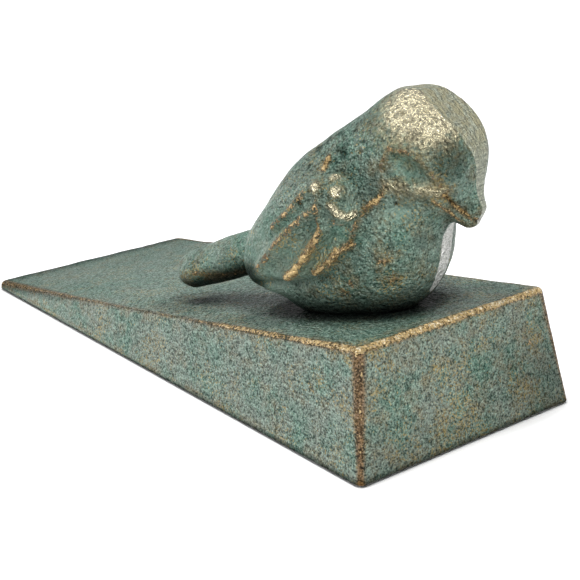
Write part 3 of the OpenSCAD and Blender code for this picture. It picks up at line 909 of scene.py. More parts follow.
# The wing is paled towards grey: partly a real bloom and partly a painted sheen.
wing_bloom_and_sheen = 0.55 * on_wing * (1 - shoulder)
keep(bird, "coarse", 0.8 + 0.3 * shoulder - 0.5 * smooth)
keep(bird, "cast_lumps", 1.6 + 0.5 * shoulder - 1.1 * smooth)
keep(bird, "dust_and_sheen", np.maximum(0.4, np.maximum(wing_bloom_and_sheen, pale_band)))
keep(bird, "browning", 1 - 0.7 * on_wing)
keep(bird, "own_place", own_place * MM)
shade(bird)
print("smoother than the rest:", smooth.mean().round(3))

# %% [markdown]
# The wedge wears along its edges. For each vertex there is a depth below the slope and a distance from each
# wall. The length of two of these taken together is the distance from the edge where the two faces meet.

# %% Edges of the wedge
skin_at = points_of(wedge)
over_foot = skin_at[:, 2] - pad_thick
below_slope = top_at(skin_at[:, 0]) - skin_at[:, 2]
rise_share = np.clip(over_foot / (top_at(skin_at[:, 0]) - pad_thick), 0, 1)
wall_x = half_length - lean_rate[0] * over_foot
wall_y = half_width - lean_rate[1] * over_foot
from_front = wall_x - skin_at[:, 0]
from_near = wall_y + skin_at[:, 1]
from_far = wall_y - skin_at[:, 1]
from_sides = np.minimum(from_near, from_far)
toward_front = np.clip((skin_at[:, 0] + half_length) / (2 * half_length), 0, 1)
top_face, front_face = below_slope < 1, from_front < 1
print("wedge: vertices on the slope", top_face.sum(), "and on the front", front_face.sum())


def edge_line(first, second, width):
    """1 along the edge where two faces meet, from the distances to both, easing out over a width."""
    return ease(1.6 - 1.6 * np.hypot(first, second) / width)


# %% Rubbed places on the wedge
corner_gap = np.hypot(np.hypot(from_front, from_near), below_slope)
spot_gap = np.hypot(skin_at[:, 1] - 19, skin_at[:, 2] - 17)
rubbed_edges = {
    "front brim": 0.88 * edge_line(below_slope, from_front, 1.7),
    "near brim": (0.34 + 0.44 * toward_front) * edge_line(below_slope, from_near, 1.6),
    "far brim": (0.2 + 0.4 * toward_front) * edge_line(below_slope, from_far, 1.4),
    "upright edges": 0.36 * edge_line(from_front, from_sides, 1.4 + 1.5 * rise_share),
    "line above the foot": 0.34 * bell(over_foot - 0.9, 0.35),
    "near front corner": 1.1 * ease(1.4 - 1.4 * corner_gap / 2.6),
    "front face": 0.12 * front_face,
    "behind the front brim": 0.2 * edge_line(below_slope, from_front, 6.0),
    "beside the long brims": 0.16 * edge_line(below_slope, from_sides, 4.0) * toward_front,
    "spot on the front": 0.3 * ease(1 - spot_gap / 8) * front_face,
}
wedge_rub = np.max(list(rubbed_edges.values()), axis=0)
upright = edge_line(from_front, from_sides, 1.5 + 1.6 * rise_share) * (below_slope > 1)
long_brims = edge_line(below_slope, from_sides, 2.0)
keep(wedge, "rub", np.clip(wedge_rub, 0, 1.2))
keep(wedge, "bare", np.max([0.9 * upright, 0.55 * long_brims, 0.3 * np.clip(wedge_rub, 0, 1)], axis=0))
print("rubbed on the wedge:", wedge_rub.mean().round(3))

# %% Painted shade, darkening and grain of the wedge
# How near the bird is: the slope round and under it is given a painted shadow.
near_bird = modelled(off_slope(skin_at) + [0, 0, 1.5])
shadow_near_bird = np.maximum(ease((6 - near_bird) / 5.5), 0.5 * ease((9.5 - near_bird) / 7))
to_rear = 0.3 * ease((0.4 - toward_front) / 0.4) + 0.4 * ease((0.06 - toward_front) / 0.06)
far_part = ease((skin_at[:, 1] + 12) / 40)
# Painted shade along the foot, and a painted shadow on the slope round the bird. The low and far parts of the
# front, the rear brims and the rear of the slope are simply made darker.
wedge_shade_and_darkening = {
    "along the foot": 0.9 * bell(over_foot, 0.35),
    "round the bird": shadow_near_bird * top_face,
    "low on the front": 0.3 * bell(from_front, 0.8) * ease((0.5 - rise_share) / 0.5),
    "far part of the front": 0.5 * bell(from_front, 0.8) * far_part * ease(1.3 - 1.2 * rise_share),
    "rear brims": 0.6 * edge_line(below_slope, from_sides, 3.5) * ease((0.45 - toward_front) / 0.4),
    "slope, more to the rear": (0.08 + to_rear) * top_face,
}
wedge_coarse = (0.6 + 0.5 * ease(1.5 * toward_front)) * (1 + 0.5 * top_face)
keep(wedge, "hollow", np.max(list(wedge_shade_and_darkening.values()), axis=0))
keep(wedge, "dust_and_sheen", ease(below_slope / 1.5))
keep(wedge, "coarse", wedge_coarse)
keep(wedge, "cast_lumps", wedge_coarse)
keep(wedge, "browning", np.ones(len(skin_at)))
shade(wedge)
print("grain of the wedge: from", wedge_coarse.min().round(2), "to", wedge_coarse.max().round(2))

# %% [markdown]
# ## The patina
# Verdigris is a crust: dull blue-green, blotchy, and full of pits under half a millimetre wide, with pale
# crystals between them. Where it is rubbed, brown shows first and then gold. A finish like that is several
# noises at their real sizes, mixed in the order in which the layers were put on.


# %% Node helpers
MIX_FACTOR, MIX_FIRST, MIX_SECOND, MIX_RESULT = 0, 6, 7, 2


def srgb(red, green, blue):
    """A colour as seen on a screen, 0 to 255, as the linear colour that shaders use."""
    c = np.array([red, green, blue]) / 255
    linear = np.where(c <= 0.04045, c / 12.92, ((c + 0.055) / 1.055) ** 2.4)
    return (*linear.tolist(), 1.0)


def feed(tree, made, feeds):
    """Sets a node's inputs, each to a number or colour or to another node's output."""
    for name, value in feeds.items():
        if isinstance(value, bpy.types.NodeSocket):
            tree.links.new(value, made.inputs[name])
        else:
            made.inputs[name].default_value = value


def node(tree, kind, settings=None, feeds=None):
    """A shader node with its settings and its inputs."""
    made = tree.nodes.new("ShaderNode" + kind)
    for name, value in (settings or {}).items():
        setattr(made, name, value)
    feed(tree, made, feeds or {})
    return made


def noise(tree, at, scale, detail=2.0, roughness=0.5):
    """Noise from 0 to 1, with a scale in waves for each metre."""
    feeds = {"Vector": at, "Scale": scale, "Detail": detail, "Roughness": roughness}
    return node(tree, "TexNoise", feeds=feeds).outputs["Fac"]


def between(tree, value, low, high, least=0.0, most=1.0):
    """Eases from least to most as the value goes from low to high."""
    feeds = {"Value": value, "From Min": low, "From Max": high, "To Min": least, "To Max": most}
    return node(tree, "MapRange", {"interpolation_type": "SMOOTHSTEP"}, feeds).outputs["Result"]


def maths(tree, operation, first, second):
    """One step of arithmetic on two values."""
    return node(tree, "Math", {"operation": operation}, {0: first, 1: second}).outputs[0]


def times(tree, first, second):
    """The product of two values."""
    return maths(tree, "MULTIPLY", first, second)


def plus(tree, first, second):
    """The sum of two values."""
    return maths(tree, "ADD", first, second)


def swung(tree, value, reach):
    """A value from 0 to 1 as one that swings about 0, by half the reach each way."""
    return times(tree, maths(tree, "SUBTRACT", value, 0.5), reach)


def stretched(tree, at, factors):
    """A place with each of its three lengths multiplied by a factor."""
    return node(tree, "VectorMath", {"operation": "MULTIPLY"}, {0: at, 1: factors}).outputs[0]


def bumped(tree, height, strength, distance):
    """A normal tilted by a height; the distance, in metres, is what a height of 1 stands for."""
    feeds = {"Strength": strength, "Distance": distance, "Height": height}
    return node(tree, "Bump", feeds=feeds).outputs["Normal"]


def mixed(tree, share, first, second):
    """A colour mixed from two, by a share from 0 to 1."""
    feeds = {MIX_FACTOR: share, MIX_FIRST: first, MIX_SECOND: second}
    return node(tree, "Mix", {"data_type": "RGBA"}, feeds).outputs[MIX_RESULT]


def stored(tree, name):
    """A number kept on the vertices."""
    return node(tree, "Attribute", {"attribute_name": name}).outputs["Fac"]


def new_finish(name):
    """An empty material: its node tree and its main shader."""
    material = bpy.data.materials.new(name)
    material.use_nodes = True
    tree = material.node_tree
    return material, tree, tree.nodes["Principled BSDF"]


def fit(piece, stands_for, material):
    """Gives a piece its material, hides the solid it stands for, and hangs it under the root empty."""
    piece.data.materials.clear()
    piece.data.materials.append(material)
    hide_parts(stands_for)
    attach(piece, "root")


# %% [markdown]
# The castings share one finish. A painter would lay it on in this order: the green crust, the pale hammered
# crown with its painted highlight, a dark wash that paints shade in the hollows, underneath and round the
# bird, the bare ground strip, brown where the crust is thin, and gold where it is rubbed through. The mixes
# below follow that order, one layer over the last.

# %% Colours of the castings
DEEP_TEAL = srgb(92, 133, 116)
GREY_TEAL = srgb(116, 145, 130)
# Grey of dust, and of the painted sheen on the bird's wing.
DUST_AND_SHEEN = srgb(134, 147, 135)
BROWN_CRUST = srgb(132, 122, 88)
PIT = srgb(26, 48, 40)
CRYSTAL = srgb(168, 196, 178)
FLECK = srgb(182, 162, 104)
SOOT_AND_SHADE = srgb(16, 18, 17)
BARE_DARK = srgb(54, 38, 24)
BARE_LIGHT = srgb(150, 112, 66)
RUB_BROWN = srgb(90, 64, 38)
RUB_GOLD = srgb(206, 178, 126)
RUB_PALE = srgb(255, 244, 214)
STRIP_DARK = srgb(138, 146, 130)
STRIP_LIGHT = srgb(190, 194, 174)
STRIP_TAN = srgb(170, 166, 136)
STRIP_PALE_HIGHLIT = srgb(246, 246, 242)
# The crown's pale top is worn gold and a painted highlight; its gap colour is painted shade between the
# domes.
CROWN_TOP_HIGHLIGHT = srgb(230, 221, 188)
CROWN_DULL = srgb(136, 130, 94)
CROWN_GAP_SHADE = srgb(48, 52, 42)
print("crust from", np.round(DEEP_TEAL[:3], 2), "to", np.round(GREY_TEAL[:3], 2))

# %% Crust and crown
# Sizes of the noises, in waves for each metre.
FINE_GRAIN, COARSE_GRAIN, BROAD_LUMPS = 2600, 1150, 420
BLOTCHES, HAZE, STAINS, CLUSTERS, FLECKS = 75, 130, 260, 110, 2000
DOMES = 1600


def pebbles(tree, at, coarse):
    """Grain of the sand mould from 0 in its pits to 1 on its grains: fine noise over a coarser one."""
    fine = times(tree, noise(tree, at, FINE_GRAIN), 0.66)
    both = plus(tree, fine, times(tree, noise(tree, at, COARSE_GRAIN), 0.34))
    return plus(tree, swung(tree, both, coarse), 0.5)


def hammered(tree, at, crown):
    """Beaten metal: uneven domes over half a millimetre wide, pale towards the crown's middle, partly worn
    gold and partly a painted highlight, with painted shade in the dark gaps.
    """
    domes = between(tree, noise(tree, at, DOMES), 0.34, 0.66)
    top = mixed(tree, between(tree, crown, 0.35, 0.9), CROWN_DULL, CROWN_TOP_HIGHLIGHT)
    gap = mixed(tree, between(tree, crown, 0.2, 1.0, 0.05, 0.6), CROWN_GAP_SHADE, top)
    return domes, mixed(tree, between(tree, domes, 0.05, 0.6), gap, top)


def patina_colour(tree, at, grain, rub):
    """Colour of the crust: blotches, a haze of dust with a painted sheen on the bird's wing, brown stains,
    pits, crystals and clusters of gold flecks.
    """
    broad = between(tree, noise(tree, at, BLOTCHES, 3), 0.38, 0.62)
    crust = mixed(tree, broad, DEEP_TEAL, GREY_TEAL)
    haze = between(tree, noise(tree, at, HAZE, 4, 0.6), 0.3, 0.62)
    crust = mixed(tree, times(tree, stored(tree, "dust_and_sheen"), haze), crust, DUST_AND_SHEEN)
    stain = plus(tree, noise(tree, at, STAINS, 6, 0.7), times(tree, rub, 0.4))
    browned = times(tree, between(tree, stain, 0.47, 0.74, 0, 0.75), stored(tree, "browning"))
    crust = mixed(tree, browned, crust, BROWN_CRUST)
    crust = mixed(tree, between(tree, grain, 0.5, 0.37, 0, 0.8), crust, PIT)
    crust = mixed(tree, between(tree, grain, 0.51, 0.64, 0, 0.6), crust, CRYSTAL)
    cluster = times(tree, between(tree, noise(tree, at, CLUSTERS, 3), 0.42, 0.65), 0.14)
    helped = plus(tree, cluster, times(tree, rub, 0.25))
    flecks = plus(tree, noise(tree, at, FLECKS), helped)
    return mixed(tree, between(tree, flecks, 0.66, 0.78, 0, 0.7), crust, FLECK)


# %% Strip, gold and relief
RAGGED_EDGE, CROWN_PATCHES, WORN_PATCHES, TAN_PATCHES = 900, 700, 800, 500
STREAKS, ALONG_STREAK = 3800, (1.0, 0.05, 1.0)
BREAST_FROM, BREAST_FULL = 0.021, 0.016
BUMP_DEPTH = 0.0014


def ground_flat(tree, at, own, grain, crown_and_highlight):
    """Streaks across the ground strip and its colour: tan near the crown, and low on the breast pale ground
    metal with a painted highlight.
    """
    streaks = noise(tree, stretched(tree, own, ALONG_STREAK), STREAKS, 3)
    flat = mixed(tree, between(tree, streaks, 0.36, 0.64), STRIP_DARK, STRIP_LIGHT)
    patches = between(tree, noise(tree, at, TAN_PATCHES, 3), 0.35, 0.6)
    tanned = times(tree, between(tree, crown_and_highlight, 0.0, 0.6), patches)
    flat = mixed(tree, tanned, flat, STRIP_TAN)
    # Low on the breast the strip is nearly white: pale ground metal and a painted highlight.
    pale = mixed(tree, between(tree, grain, 0.3, 0.52), STRIP_DARK, STRIP_PALE_HIGHLIT)
    own_height = node(tree, "SeparateXYZ", feeds={0: own}).outputs["Z"]
    return streaks, mixed(tree, between(tree, own_height, BREAST_FROM, BREAST_FULL), flat, pale)


def rubbed_gold(tree, at, grain, rub):
    """How far the crust is rubbed through, from 0 to 1, and the colour there: brown, gold, then pale gold."""
    worn = plus(tree, rub, swung(tree, grain, 1.6))
    worn = plus(tree, worn, swung(tree, noise(tree, at, WORN_PATCHES, 4, 0.6), 1.1))
    rubbed = times(tree, between(tree, worn, 0.3, 0.85), between(tree, rub, 0.1, 0.35))
    gold = mixed(tree, between(tree, rubbed, 0.25, 0.75), RUB_BROWN, RUB_GOLD)
    return rubbed, mixed(tree, between(tree, times(tree, rubbed, worn), 0.9, 1.25), gold, RUB_PALE)


def cast_bump(tree, at, grain, streaks, domes):
    """Normal of the cast skin: the sum of its grain, its lumps, the strip's streaks and the crown's domes."""
    broad = times(tree, noise(tree, at, BROAD_LUMPS), 0.7)
    lumpy = plus(tree, broad, times(tree, noise(tree, at, COARSE_GRAIN), 1.15))
    height = plus(tree, times(tree, grain, 0.3), times(tree, lumpy, stored(tree, "cast_lumps")))
    height = plus(tree, height, times(tree, streaks, 0.3))
    height = plus(tree, height, times(tree, domes, 0.22))
    return bumped(tree, height, 1.0, BUMP_DEPTH)


# %% The verdigris finish
def verdigris(name):
    """Green patina over gold: crust, hammered crown with a painted highlight, a dark wash of painted shade,
    ground strip, brown edges and rubbed gold.
    """
    material, tree, main = new_finish(name)
    at = node(tree, "TexCoord").outputs["Object"]
    own = node(tree, "Attribute", {"attribute_name": "own_place"}).outputs["Vector"]
    rub, hollow, crown_and_highlight = stored(tree, "rub"), stored(tree, "hollow"), stored(tree, "crown")
    ragged = swung(tree, noise(tree, at, RAGGED_EDGE, 4, 0.6), 1.6)
    strip = between(tree, plus(tree, stored(tree, "strip"), ragged), 0.35, 0.65)
    crown = times(tree, crown_and_highlight, maths(tree, "SUBTRACT", 1.0, strip))
    patchy = plus(tree, crown, swung(tree, noise(tree, at, CROWN_PATCHES, 4, 0.6), 1.2))
    grain = pebbles(tree, at, stored(tree, "coarse"))
    domes, beaten = hammered(tree, at, crown)
    streaks, flat = ground_flat(tree, at, own, grain, crown_and_highlight)
    rubbed, gold = rubbed_gold(tree, at, grain, rub)
    brown = mixed(tree, between(tree, grain, 0.4, 0.62), BARE_DARK, BARE_LIGHT)

    colour = patina_colour(tree, at, grain, rub)
    # The crown's colour: worn pale gold with a painted highlight, and painted shade between the domes.
    colour = mixed(tree, between(tree, patchy, 0.15, 0.8), colour, beaten)
    # Painted shade: hollows, undersides, the foot and the slope round the bird darken towards near black;
    # real dark specks share this colour.
    colour = mixed(tree, times(tree, hollow, 0.94), colour, SOOT_AND_SHADE)
    colour = mixed(tree, strip, colour, flat)
    colour = mixed(tree, stored(tree, "bare"), colour, brown)
    colour = mixed(tree, between(tree, rubbed, 0.05, 0.4), colour, gold)

    on_gold = between(tree, rubbed, 0.4, 0.95, 0.0, 0.35)
    on_crown = between(tree, patchy, 0.3, 0.9, 0.0, 0.9)
    bright = maths(tree, "MAXIMUM", maths(tree, "MAXIMUM", on_gold, on_crown), times(tree, strip, 0.2))
    on_grains = between(tree, grain, 0.42, 0.62, 0.1, 0.65)
    looks = {
        "Base Color": colour,
        "Metallic": bright,
        "Roughness": between(tree, bright, 0.0, 0.8, 0.38, 0.2),
        "Specular IOR Level": times(tree, on_grains, between(tree, hollow, 0.0, 0.7, 1.0, 0.05)),
        "Normal": cast_bump(tree, at, grain, times(tree, streaks, strip), times(tree, domes, crown)),
    }
    feed(tree, main, looks)
    return material


patina = verdigris("verdigris")
fit(wedge, "wedge_base", patina)
fit(bird, "bird", patina)
print("verdigris: a mix of", len(patina.node_tree.nodes), "nodes on wedge and bird")

# %% [markdown]
# ## Screws and washers
# Two socket screws come up through the plate into the bird, each with a spring washer and a flat washer.
# Dies roll a real thread into the shank. Here it is a groove that winds up the shank: the radius drops by a
# saw-tooth of height and angle, so a single grid gives the whole helix.

# %% Threaded screws
THREAD_PITCH, THREAD_DEPTH = 0.8, 0.45
PLAIN_SHANK, THREAD_RUN_IN = 1.0, 1.5
SHANK_ROWS, SCREW_SIDES, DOME_STEPS = 240, 48, 9
head_d, head_h, dome = 9.5, 2.8, 0.9
key_width, key_depth = 3.0, 1.7
WASHER_STEPS, WASHER_SOFT = 96, 0.12


def screw_profile():
    """Radius and height from the head's underside, over its dome and shoulder, up the shank to the tip."""
    low = spring_face - head_h
    turn = np.linspace(0, np.pi / 2, DOME_STEPS)
    domed = np.stack([head_d / 2 - dome + dome * np.sin(turn), low + dome * (1 - np.cos(turn))], axis=1)
    shank_z = np.linspace(spring_face, screw_tip - dome, SHANK_ROWS)
    shank = np.stack([np.full(SHANK_ROWS, screw_d / 2), shank_z], axis=1)
    tip = [(screw_d / 2 - dome, screw_tip), (0, screw_tip)]
    return np.concatenate([[(0, low)], domed, [(head_d / 2, spring_face)], shank, tip])


def threaded_screw(name, ahead):
    """A turned screw whose shank has a V-groove wound up it, and a six-sided key hole in its head."""
    screw = turned(name, screw_profile(), ahead, SCREW_SIDES)
    flat = off_slope(points_of(screw)) - [ahead, 0, 0]
    radius = np.hypot(flat[:, 0], flat[:, 1])
    angle = np.arctan2(flat[:, 1], flat[:, 0])
    phase = (flat[:, 2] / THREAD_PITCH - angle / (2 * np.pi)) % 1.0
    groove = THREAD_DEPTH * (1 - 2 * np.abs(phase - 0.5))
    on_shank = (radius < screw_d / 2 + 0.01) & (radius > screw_d / 4)
    fade = ease((flat[:, 2] - spring_face - PLAIN_SHANK) / THREAD_RUN_IN) * on_shank
    flat[:, :2] *= ((radius - groove * fade) / np.maximum(radius, 1e-6))[:, None]
    screw.data.vertices.foreach_set("co", (on_slope(flat + [ahead, 0, 0]) * MM).ravel())
    low = spring_face - head_h
    key = bar("key", key_width / np.sqrt(3), low - CUT_SPARE, low + key_depth, ahead, sides=6)
    shaped(screw, key, "DIFFERENCE")
    shade(screw, crease=35)
    return screw


def washer(name, ahead, face, outer, thick, slit=0.0):
    """A flat ring with rounded edges, carried round the screw; a slit leaves a gap in it."""
    inner, soft = screw_d / 2 + clear_gap, WASHER_SOFT
    turn = np.radians([225, 270, 315, 0, 45, 90, 135, 180])
    corner = np.array([[-1, -1], [-1, -1], [1, -1], [1, -1], [1, 1], [1, 1], [-1, 1], [-1, 1]])
    half = np.array([(outer / 2 - inner) / 2, thick / 2])
    rim = np.array([(outer / 2 + inner) / 2, face + thick / 2]) + corner * (half - soft)
    section = rim + soft * np.stack([np.cos(turn), np.sin(turn)], axis=1)
    section = np.clip(section, [inner, face], [outer / 2, face + thick])
    open_by = slit / (outer / 2 + inner)
    angle = np.linspace(open_by, 2 * np.pi - open_by, WASHER_STEPS + 1)
    if not slit:
        angle = angle[:-1]
    points = np.empty((len(angle), len(section), 3))
    points[..., 0] = np.cos(angle)[:, None] * section[:, 0] + ahead
    points[..., 1] = np.sin(angle)[:, None] * section[:, 0]
    points[..., 2] = section[:, 1]
    index = wrapped(np.arange(len(angle) * len(section)).reshape(len(angle), len(section)))
    if slit:
        ends = [index[0, :-1][None], index[-1, :-1][::-1][None]]
    else:
        index, ends = np.concatenate([index, index[:1]]), []
    ring = put_in(name, on_slope(points.reshape(-1, 3)), grid_quads(index)[:, ::-1], *ends)
    shade(ring, crease=30)
    return ring


# %% [markdown]
# The screws and flat washers are zinc plated, and the spring washers are darker spring steel. Both are metal
# all over, so they differ in tone and polish only: one function makes either, with clouds and a fine mark.

# %% Steel finishes
PLATE_PALE, HANDLING_DARK = srgb(214, 214, 208), srgb(92, 92, 90)
ZINC, SPRING = srgb(186, 188, 190), srgb(120, 124, 130)
WASHER_D, SPRING_D, SPRING_SLIT = 10.0, 9.2, 0.8


def plain_steel(name, tone, roughness):
    """Plated steel: cloudy tone and polish, darker specks of handling, and a fine mark in the surface."""
    material, tree, main = new_finish(name)
    at = node(tree, "TexCoord").outputs["Object"]
    cloud = noise(tree, at, 500, 4)
    fine = noise(tree, at, 4200)
    colour = mixed(tree, between(tree, cloud, 0.35, 0.7), tone, PLATE_PALE)
    colour = mixed(tree, between(tree, fine, 0.62, 0.75, 0, 0.6), colour, HANDLING_DARK)
    looks = {
        "Base Color": colour,
        "Metallic": 1.0,
        "Roughness": between(tree, cloud, 0.3, 0.7, roughness, roughness + 0.15),
        "Normal": bumped(tree, fine, 0.2, 0.00005),
    }
    feed(tree, main, looks)
    return material


zinc = plain_steel("zinc_plate", ZINC, 0.28)
spring = plain_steel("spring_steel", SPRING, 0.34)
for end, ahead in screw_places.items():
    screw = threaded_screw(end + "_socket_screw", ahead)
    plain = washer(end + "_plain_washer", ahead, washer_face, WASHER_D, washer_thick)
    split = washer(end + "_split_washer", ahead, spring_face, SPRING_D, spring_thick, SPRING_SLIT)
    fit(screw, end + "_screw", zinc)
    fit(plain, end + "_flat_washer", zinc)
    fit(split, end + "_spring_washer", spring)
    print(end, "fixings:", len(screw.data.polygons), "faces on the screw")

# %% [markdown]
# ## The felt under the foot
# A sheet of thin felt is glued under the wedge so that it slides without scratching and then grips. It is cut
# a little smaller than the foot. Its edge is soft, and its face is a mat of fibres, so the sheet is a shallow
# slab with a rolled edge and a fine pile of noise.

# %% Felt sheet
felt_low, felt_high = (np.array(corner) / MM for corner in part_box("floor_pad"))
FELT_LONG, FELT_END, FELT_ROWS = 150, 56, 6
EDGE_SOFT, EDGE_TRIM, EDGE_FUZZ, NAP = 0.35, 0.06, 0.05, 0.03
FELT_DARK, FELT_LIGHT = srgb(30, 30, 30), srgb(66, 66, 64)


def felt_slab(name):
    """Rings round the cut edge, from its foot to its top, closed by a patch below and above."""
    half_x, half_y = felt_high[0], felt_high[1]
    thick = felt_high[2] - felt_low[2]
    spot, way = outline(half_x, half_y, corner_radius, FELT_LONG, FELT_END)
    turn = np.linspace(-np.pi / 2, np.pi / 2, FELT_ROWS + 1)
    inset = EDGE_SOFT * thick * (1 - np.cos(turn))
    rise = thick * (0.5 + 0.5 * np.sin(turn))
    rings = np.empty((len(turn), len(spot), 3))
    rings[..., :2] = spot - inset[:, None, None] * way
    rings[..., 2] = felt_low[2] + rise[:, None]
    fuzz = EDGE_FUZZ * waves(rings.reshape(-1, 3), 0.9, 21).reshape(rings.shape[:2])
    rings[..., :2] -= (EDGE_TRIM + fuzz)[..., None] * way
    count, around = rings.shape[:2]
    inside = [patch(ring, FELT_LONG, FELT_END)[1:-1, 1:-1].reshape(-1, 3) for ring in (rings[0], rings[-1])]
    inside[0][:, 2] += NAP * (1 + waves(inside[0], 1.1, 22))
    points = np.concatenate([rings.reshape(-1, 3), *inside])
    index = np.arange(count * around).reshape(count, around)
    below = patch_index(0, index.size, FELT_LONG, FELT_END)
    above = patch_index(index[-1, 0], index.size + len(inside[0]), FELT_LONG, FELT_END)
    return put_in(name, points, grid_quads(wrapped(index)), grid_quads(below.T), grid_quads(above.T)[:, ::-1])


def felt_finish(name):
    """Matted dark wool: short crossed fibres, paler on top, with a soft sheen."""
    material, tree, main = new_finish(name)
    at = node(tree, "TexCoord").outputs["Object"]
    lengthwise = noise(tree, stretched(tree, at, (0.2, 1.0, 1.0)), 3000)
    crosswise = noise(tree, stretched(tree, at, (1.0, 0.2, 1.0)), 2800)
    fibres = maths(tree, "MAXIMUM", lengthwise, crosswise)
    looks = {
        "Base Color": mixed(tree, between(tree, fibres, 0.45, 0.75), FELT_DARK, FELT_LIGHT),
        "Normal": bumped(tree, fibres, 0.8, 0.0002),
        "Roughness": 0.95,
        "Sheen Weight": 0.3,
    }
    feed(tree, main, looks)
    return material


felt = felt_slab("felt_sheet")
shade(felt, crease=60)
fit(felt, "floor_pad", felt_finish("dark_felt"))
print("felt:", len(felt.data.polygons), "faces")

# %% [markdown]
# ## Floor, light and camera
# A small product is photographed on white paper in a white tent. The floor is pale and catches the soft
# shadow. It is lifted towards white, more so far away, but only for what the camera and mirrors see, so it
# adds no light to the object.

# %% Floor
FLOOR_HALF = 4.0
FLOOR_LIFT, LIFT_FROM, LIFT_FULL = 0.5, 0.2, 0.9
FLOOR_REACH = 0.01
PAPER_DARK, PAPER_LIGHT = srgb(236, 236, 236), srgb(240, 240, 240)


def seen_directly(tree):
    """1 for camera, mirror and glass rays, 0 for the light that falls on the object."""
    path = node(tree, "LightPath").outputs
    glossy = maths(tree, "MAXIMUM", path["Is Glossy Ray"], path["Is Transmission Ray"])
    return maths(tree, "MAXIMUM", path["Is Camera Ray"], glossy)


def floor_finish(name):
    """Matt white paper, lifted towards white where it is seen directly and nothing stands close over it;
    where the lift fades next to the object, the darker floor is painted contact shade.
    """
    material, tree, main = new_finish(name)
    at = node(tree, "TexCoord").outputs["Object"]
    open_sky = node(tree, "AmbientOcclusion", {"samples": 8}, {"Distance": FLOOR_REACH}).outputs["AO"]
    away = node(tree, "VectorMath", {"operation": "LENGTH"}, {0: at}).outputs["Value"]
    most = between(tree, away, LIFT_FROM, LIFT_FULL, FLOOR_LIFT, 1.0)
    # Where the object stands close over the floor the lift fades out, which paints a contact shade along the
    # foot.
    lift = times(tree, between(tree, open_sky, 0.5, 0.97), most)
    looks = {
        "Base Color": mixed(tree, noise(tree, at, 40, 3), PAPER_DARK, PAPER_LIGHT),
        "Roughness": 0.9,
        "Specular IOR Level": 0.1,
        "Emission Color": (1, 1, 1, 1),
        "Emission Strength": times(tree, seen_directly(tree), lift),
    }
    feed(tree, main, looks)
    return material


corners = np.array([[-1, -1, 0], [1, -1, 0], [1, 1, 0], [-1, 1, 0]]) * FLOOR_HALF / MM
floor = put_in("floor", corners, [[0, 1, 2, 3]])
floor.data.materials.append(floor_finish("white_paper"))
print("floor:", 2 * FLOOR_HALF, "m across")

# %% [markdown]
# The tent gives a weak light from all round. Metal also needs something to mirror, so reflections see a tent
# that grows brighter upwards, with a bright panel at the left. The panel is seen in reflections only.

# %% Surroundings
WORLD_LIGHT = 0.1
MIRRORED_LOW, MIRRORED_HIGH = 0.4, 0.8
MIRRORED_LEFT = 1.0
world = bpy.data.worlds.new("white_tent")
bpy.context.scene.world = world
world.use_nodes = True
sky = world.node_tree
backdrop = sky.nodes["Background"]
backdrop.inputs["Color"].default_value = (1, 1, 1, 1)
path = node(sky, "LightPath").outputs
way_out = node(sky, "SeparateXYZ", feeds={0: node(sky, "TexCoord").outputs["Generated"]}).outputs
mirrored = between(sky, way_out["Z"], 0.0, 0.7, MIRRORED_LOW, MIRRORED_HIGH)
mirrored = plus(sky, mirrored, between(sky, way_out["Y"], -0.3, -0.8, 0.0, MIRRORED_LEFT))
unseen = times(sky, path["Is Glossy Ray"], maths(sky, "SUBTRACT", mirrored, WORLD_LIGHT))
strength = plus(sky, unseen, between(sky, path["Is Camera Ray"], 0, 1, WORLD_LIGHT, 1.0))
sky.links.new(strength, backdrop.inputs["Strength"])
print("tent: light", WORLD_LIGHT, "and reflections up to", MIRRORED_HIGH + MIRRORED_LEFT)

# %% [markdown]
# Five soft lamps shape the forms: one overhead, one above the front, one from the left, one low at the front
# and one behind that draws a rim. Each is a square that faces the object.

# %% Lamps
AIM = np.array([0.03, 0, 0.03])
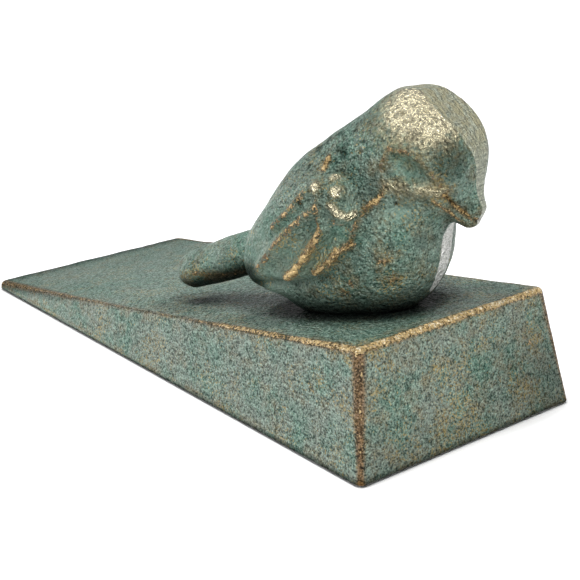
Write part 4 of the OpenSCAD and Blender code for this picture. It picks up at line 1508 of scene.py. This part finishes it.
# Direction from the object, distance in metres, size in metres and power in watts.
LAMPS = {
    "overhead": ((-0.15, -0.2, 0.95), 0.9, 0.25, 4.0),
    "top_front": ((0.5, -0.15, 0.85), 1.0, 0.2, 4.7),
    "left_side": ((0.2, -0.75, 0.7), 1.1, 0.25, 2.1),
    "front_low": ((0.95, -0.2, 0.25), 1.4, 0.5, 5.2),
    "back_rim": ((-0.97, -0.25, 0.1), 1.0, 0.5, 3.0),
}


def facing(backward, roll):
    """Rotation whose -Z looks against a backward direction, with its X level and then rolled in radians."""
    back_way = np.array(backward) / np.linalg.norm(backward)
    level = np.cross([0, 0, 1], back_way)
    level = level / np.linalg.norm(level)
    up = np.cross(back_way, level)
    right = level * np.cos(roll) + up * np.sin(roll)
    up = -level * np.sin(roll) + up * np.cos(roll)
    return Matrix(np.stack([right, up, back_way], axis=1).tolist()).to_euler()


def soft_lamp(name, towards, distance, size, power):
    """A square lamp out along a direction from the object, facing it."""
    light = bpy.data.lights.new(name, "AREA")
    light.shape = "SQUARE"
    light.size = size
    light.energy = power
    lamp = bpy.data.objects.new(name, light)
    lamp.location = AIM + np.array(towards) / np.linalg.norm(towards) * distance
    lamp.rotation_euler = facing(towards, 0.0)
    bpy.context.scene.collection.objects.link(lamp)


for name, lamp in LAMPS.items():
    soft_lamp(name, *lamp)
print("lamps:", ", ".join(LAMPS))

# %% [markdown]
# The camera's place, aim and lens were solved from the wedge's own straight edges in the photo, so the edges
# made here fall where they fall in the photo. The small roll is how level the camera was held.

# %% Camera
LENS = 78.77
EYE = np.array([237.65, -168.32, 116.22])
AZIMUTH, ELEVATION, ROLL = np.radians([52.582, 19.648, -1.713])
backward = [np.sin(AZIMUTH) * np.cos(ELEVATION), -np.cos(AZIMUTH) * np.cos(ELEVATION), np.sin(ELEVATION)]
camera_data = bpy.data.cameras.new("camera")
camera_data.lens = LENS
camera_data.sensor_width = 36.0
camera_data.sensor_fit = "HORIZONTAL"
camera_data.clip_start = 0.01
camera = bpy.data.objects.new("camera", camera_data)
camera.location = EYE * MM
camera.rotation_euler = facing(backward, ROLL)
bpy.context.scene.collection.objects.link(camera)
bpy.context.scene.camera = camera
bpy.context.scene.view_settings.view_transform = "Standard"
print("camera at", EYE.round(1), "mm")

# %% [markdown]
# Last, the view layer is brought up to date.

# %% Last update
bpy.context.view_layer.update()
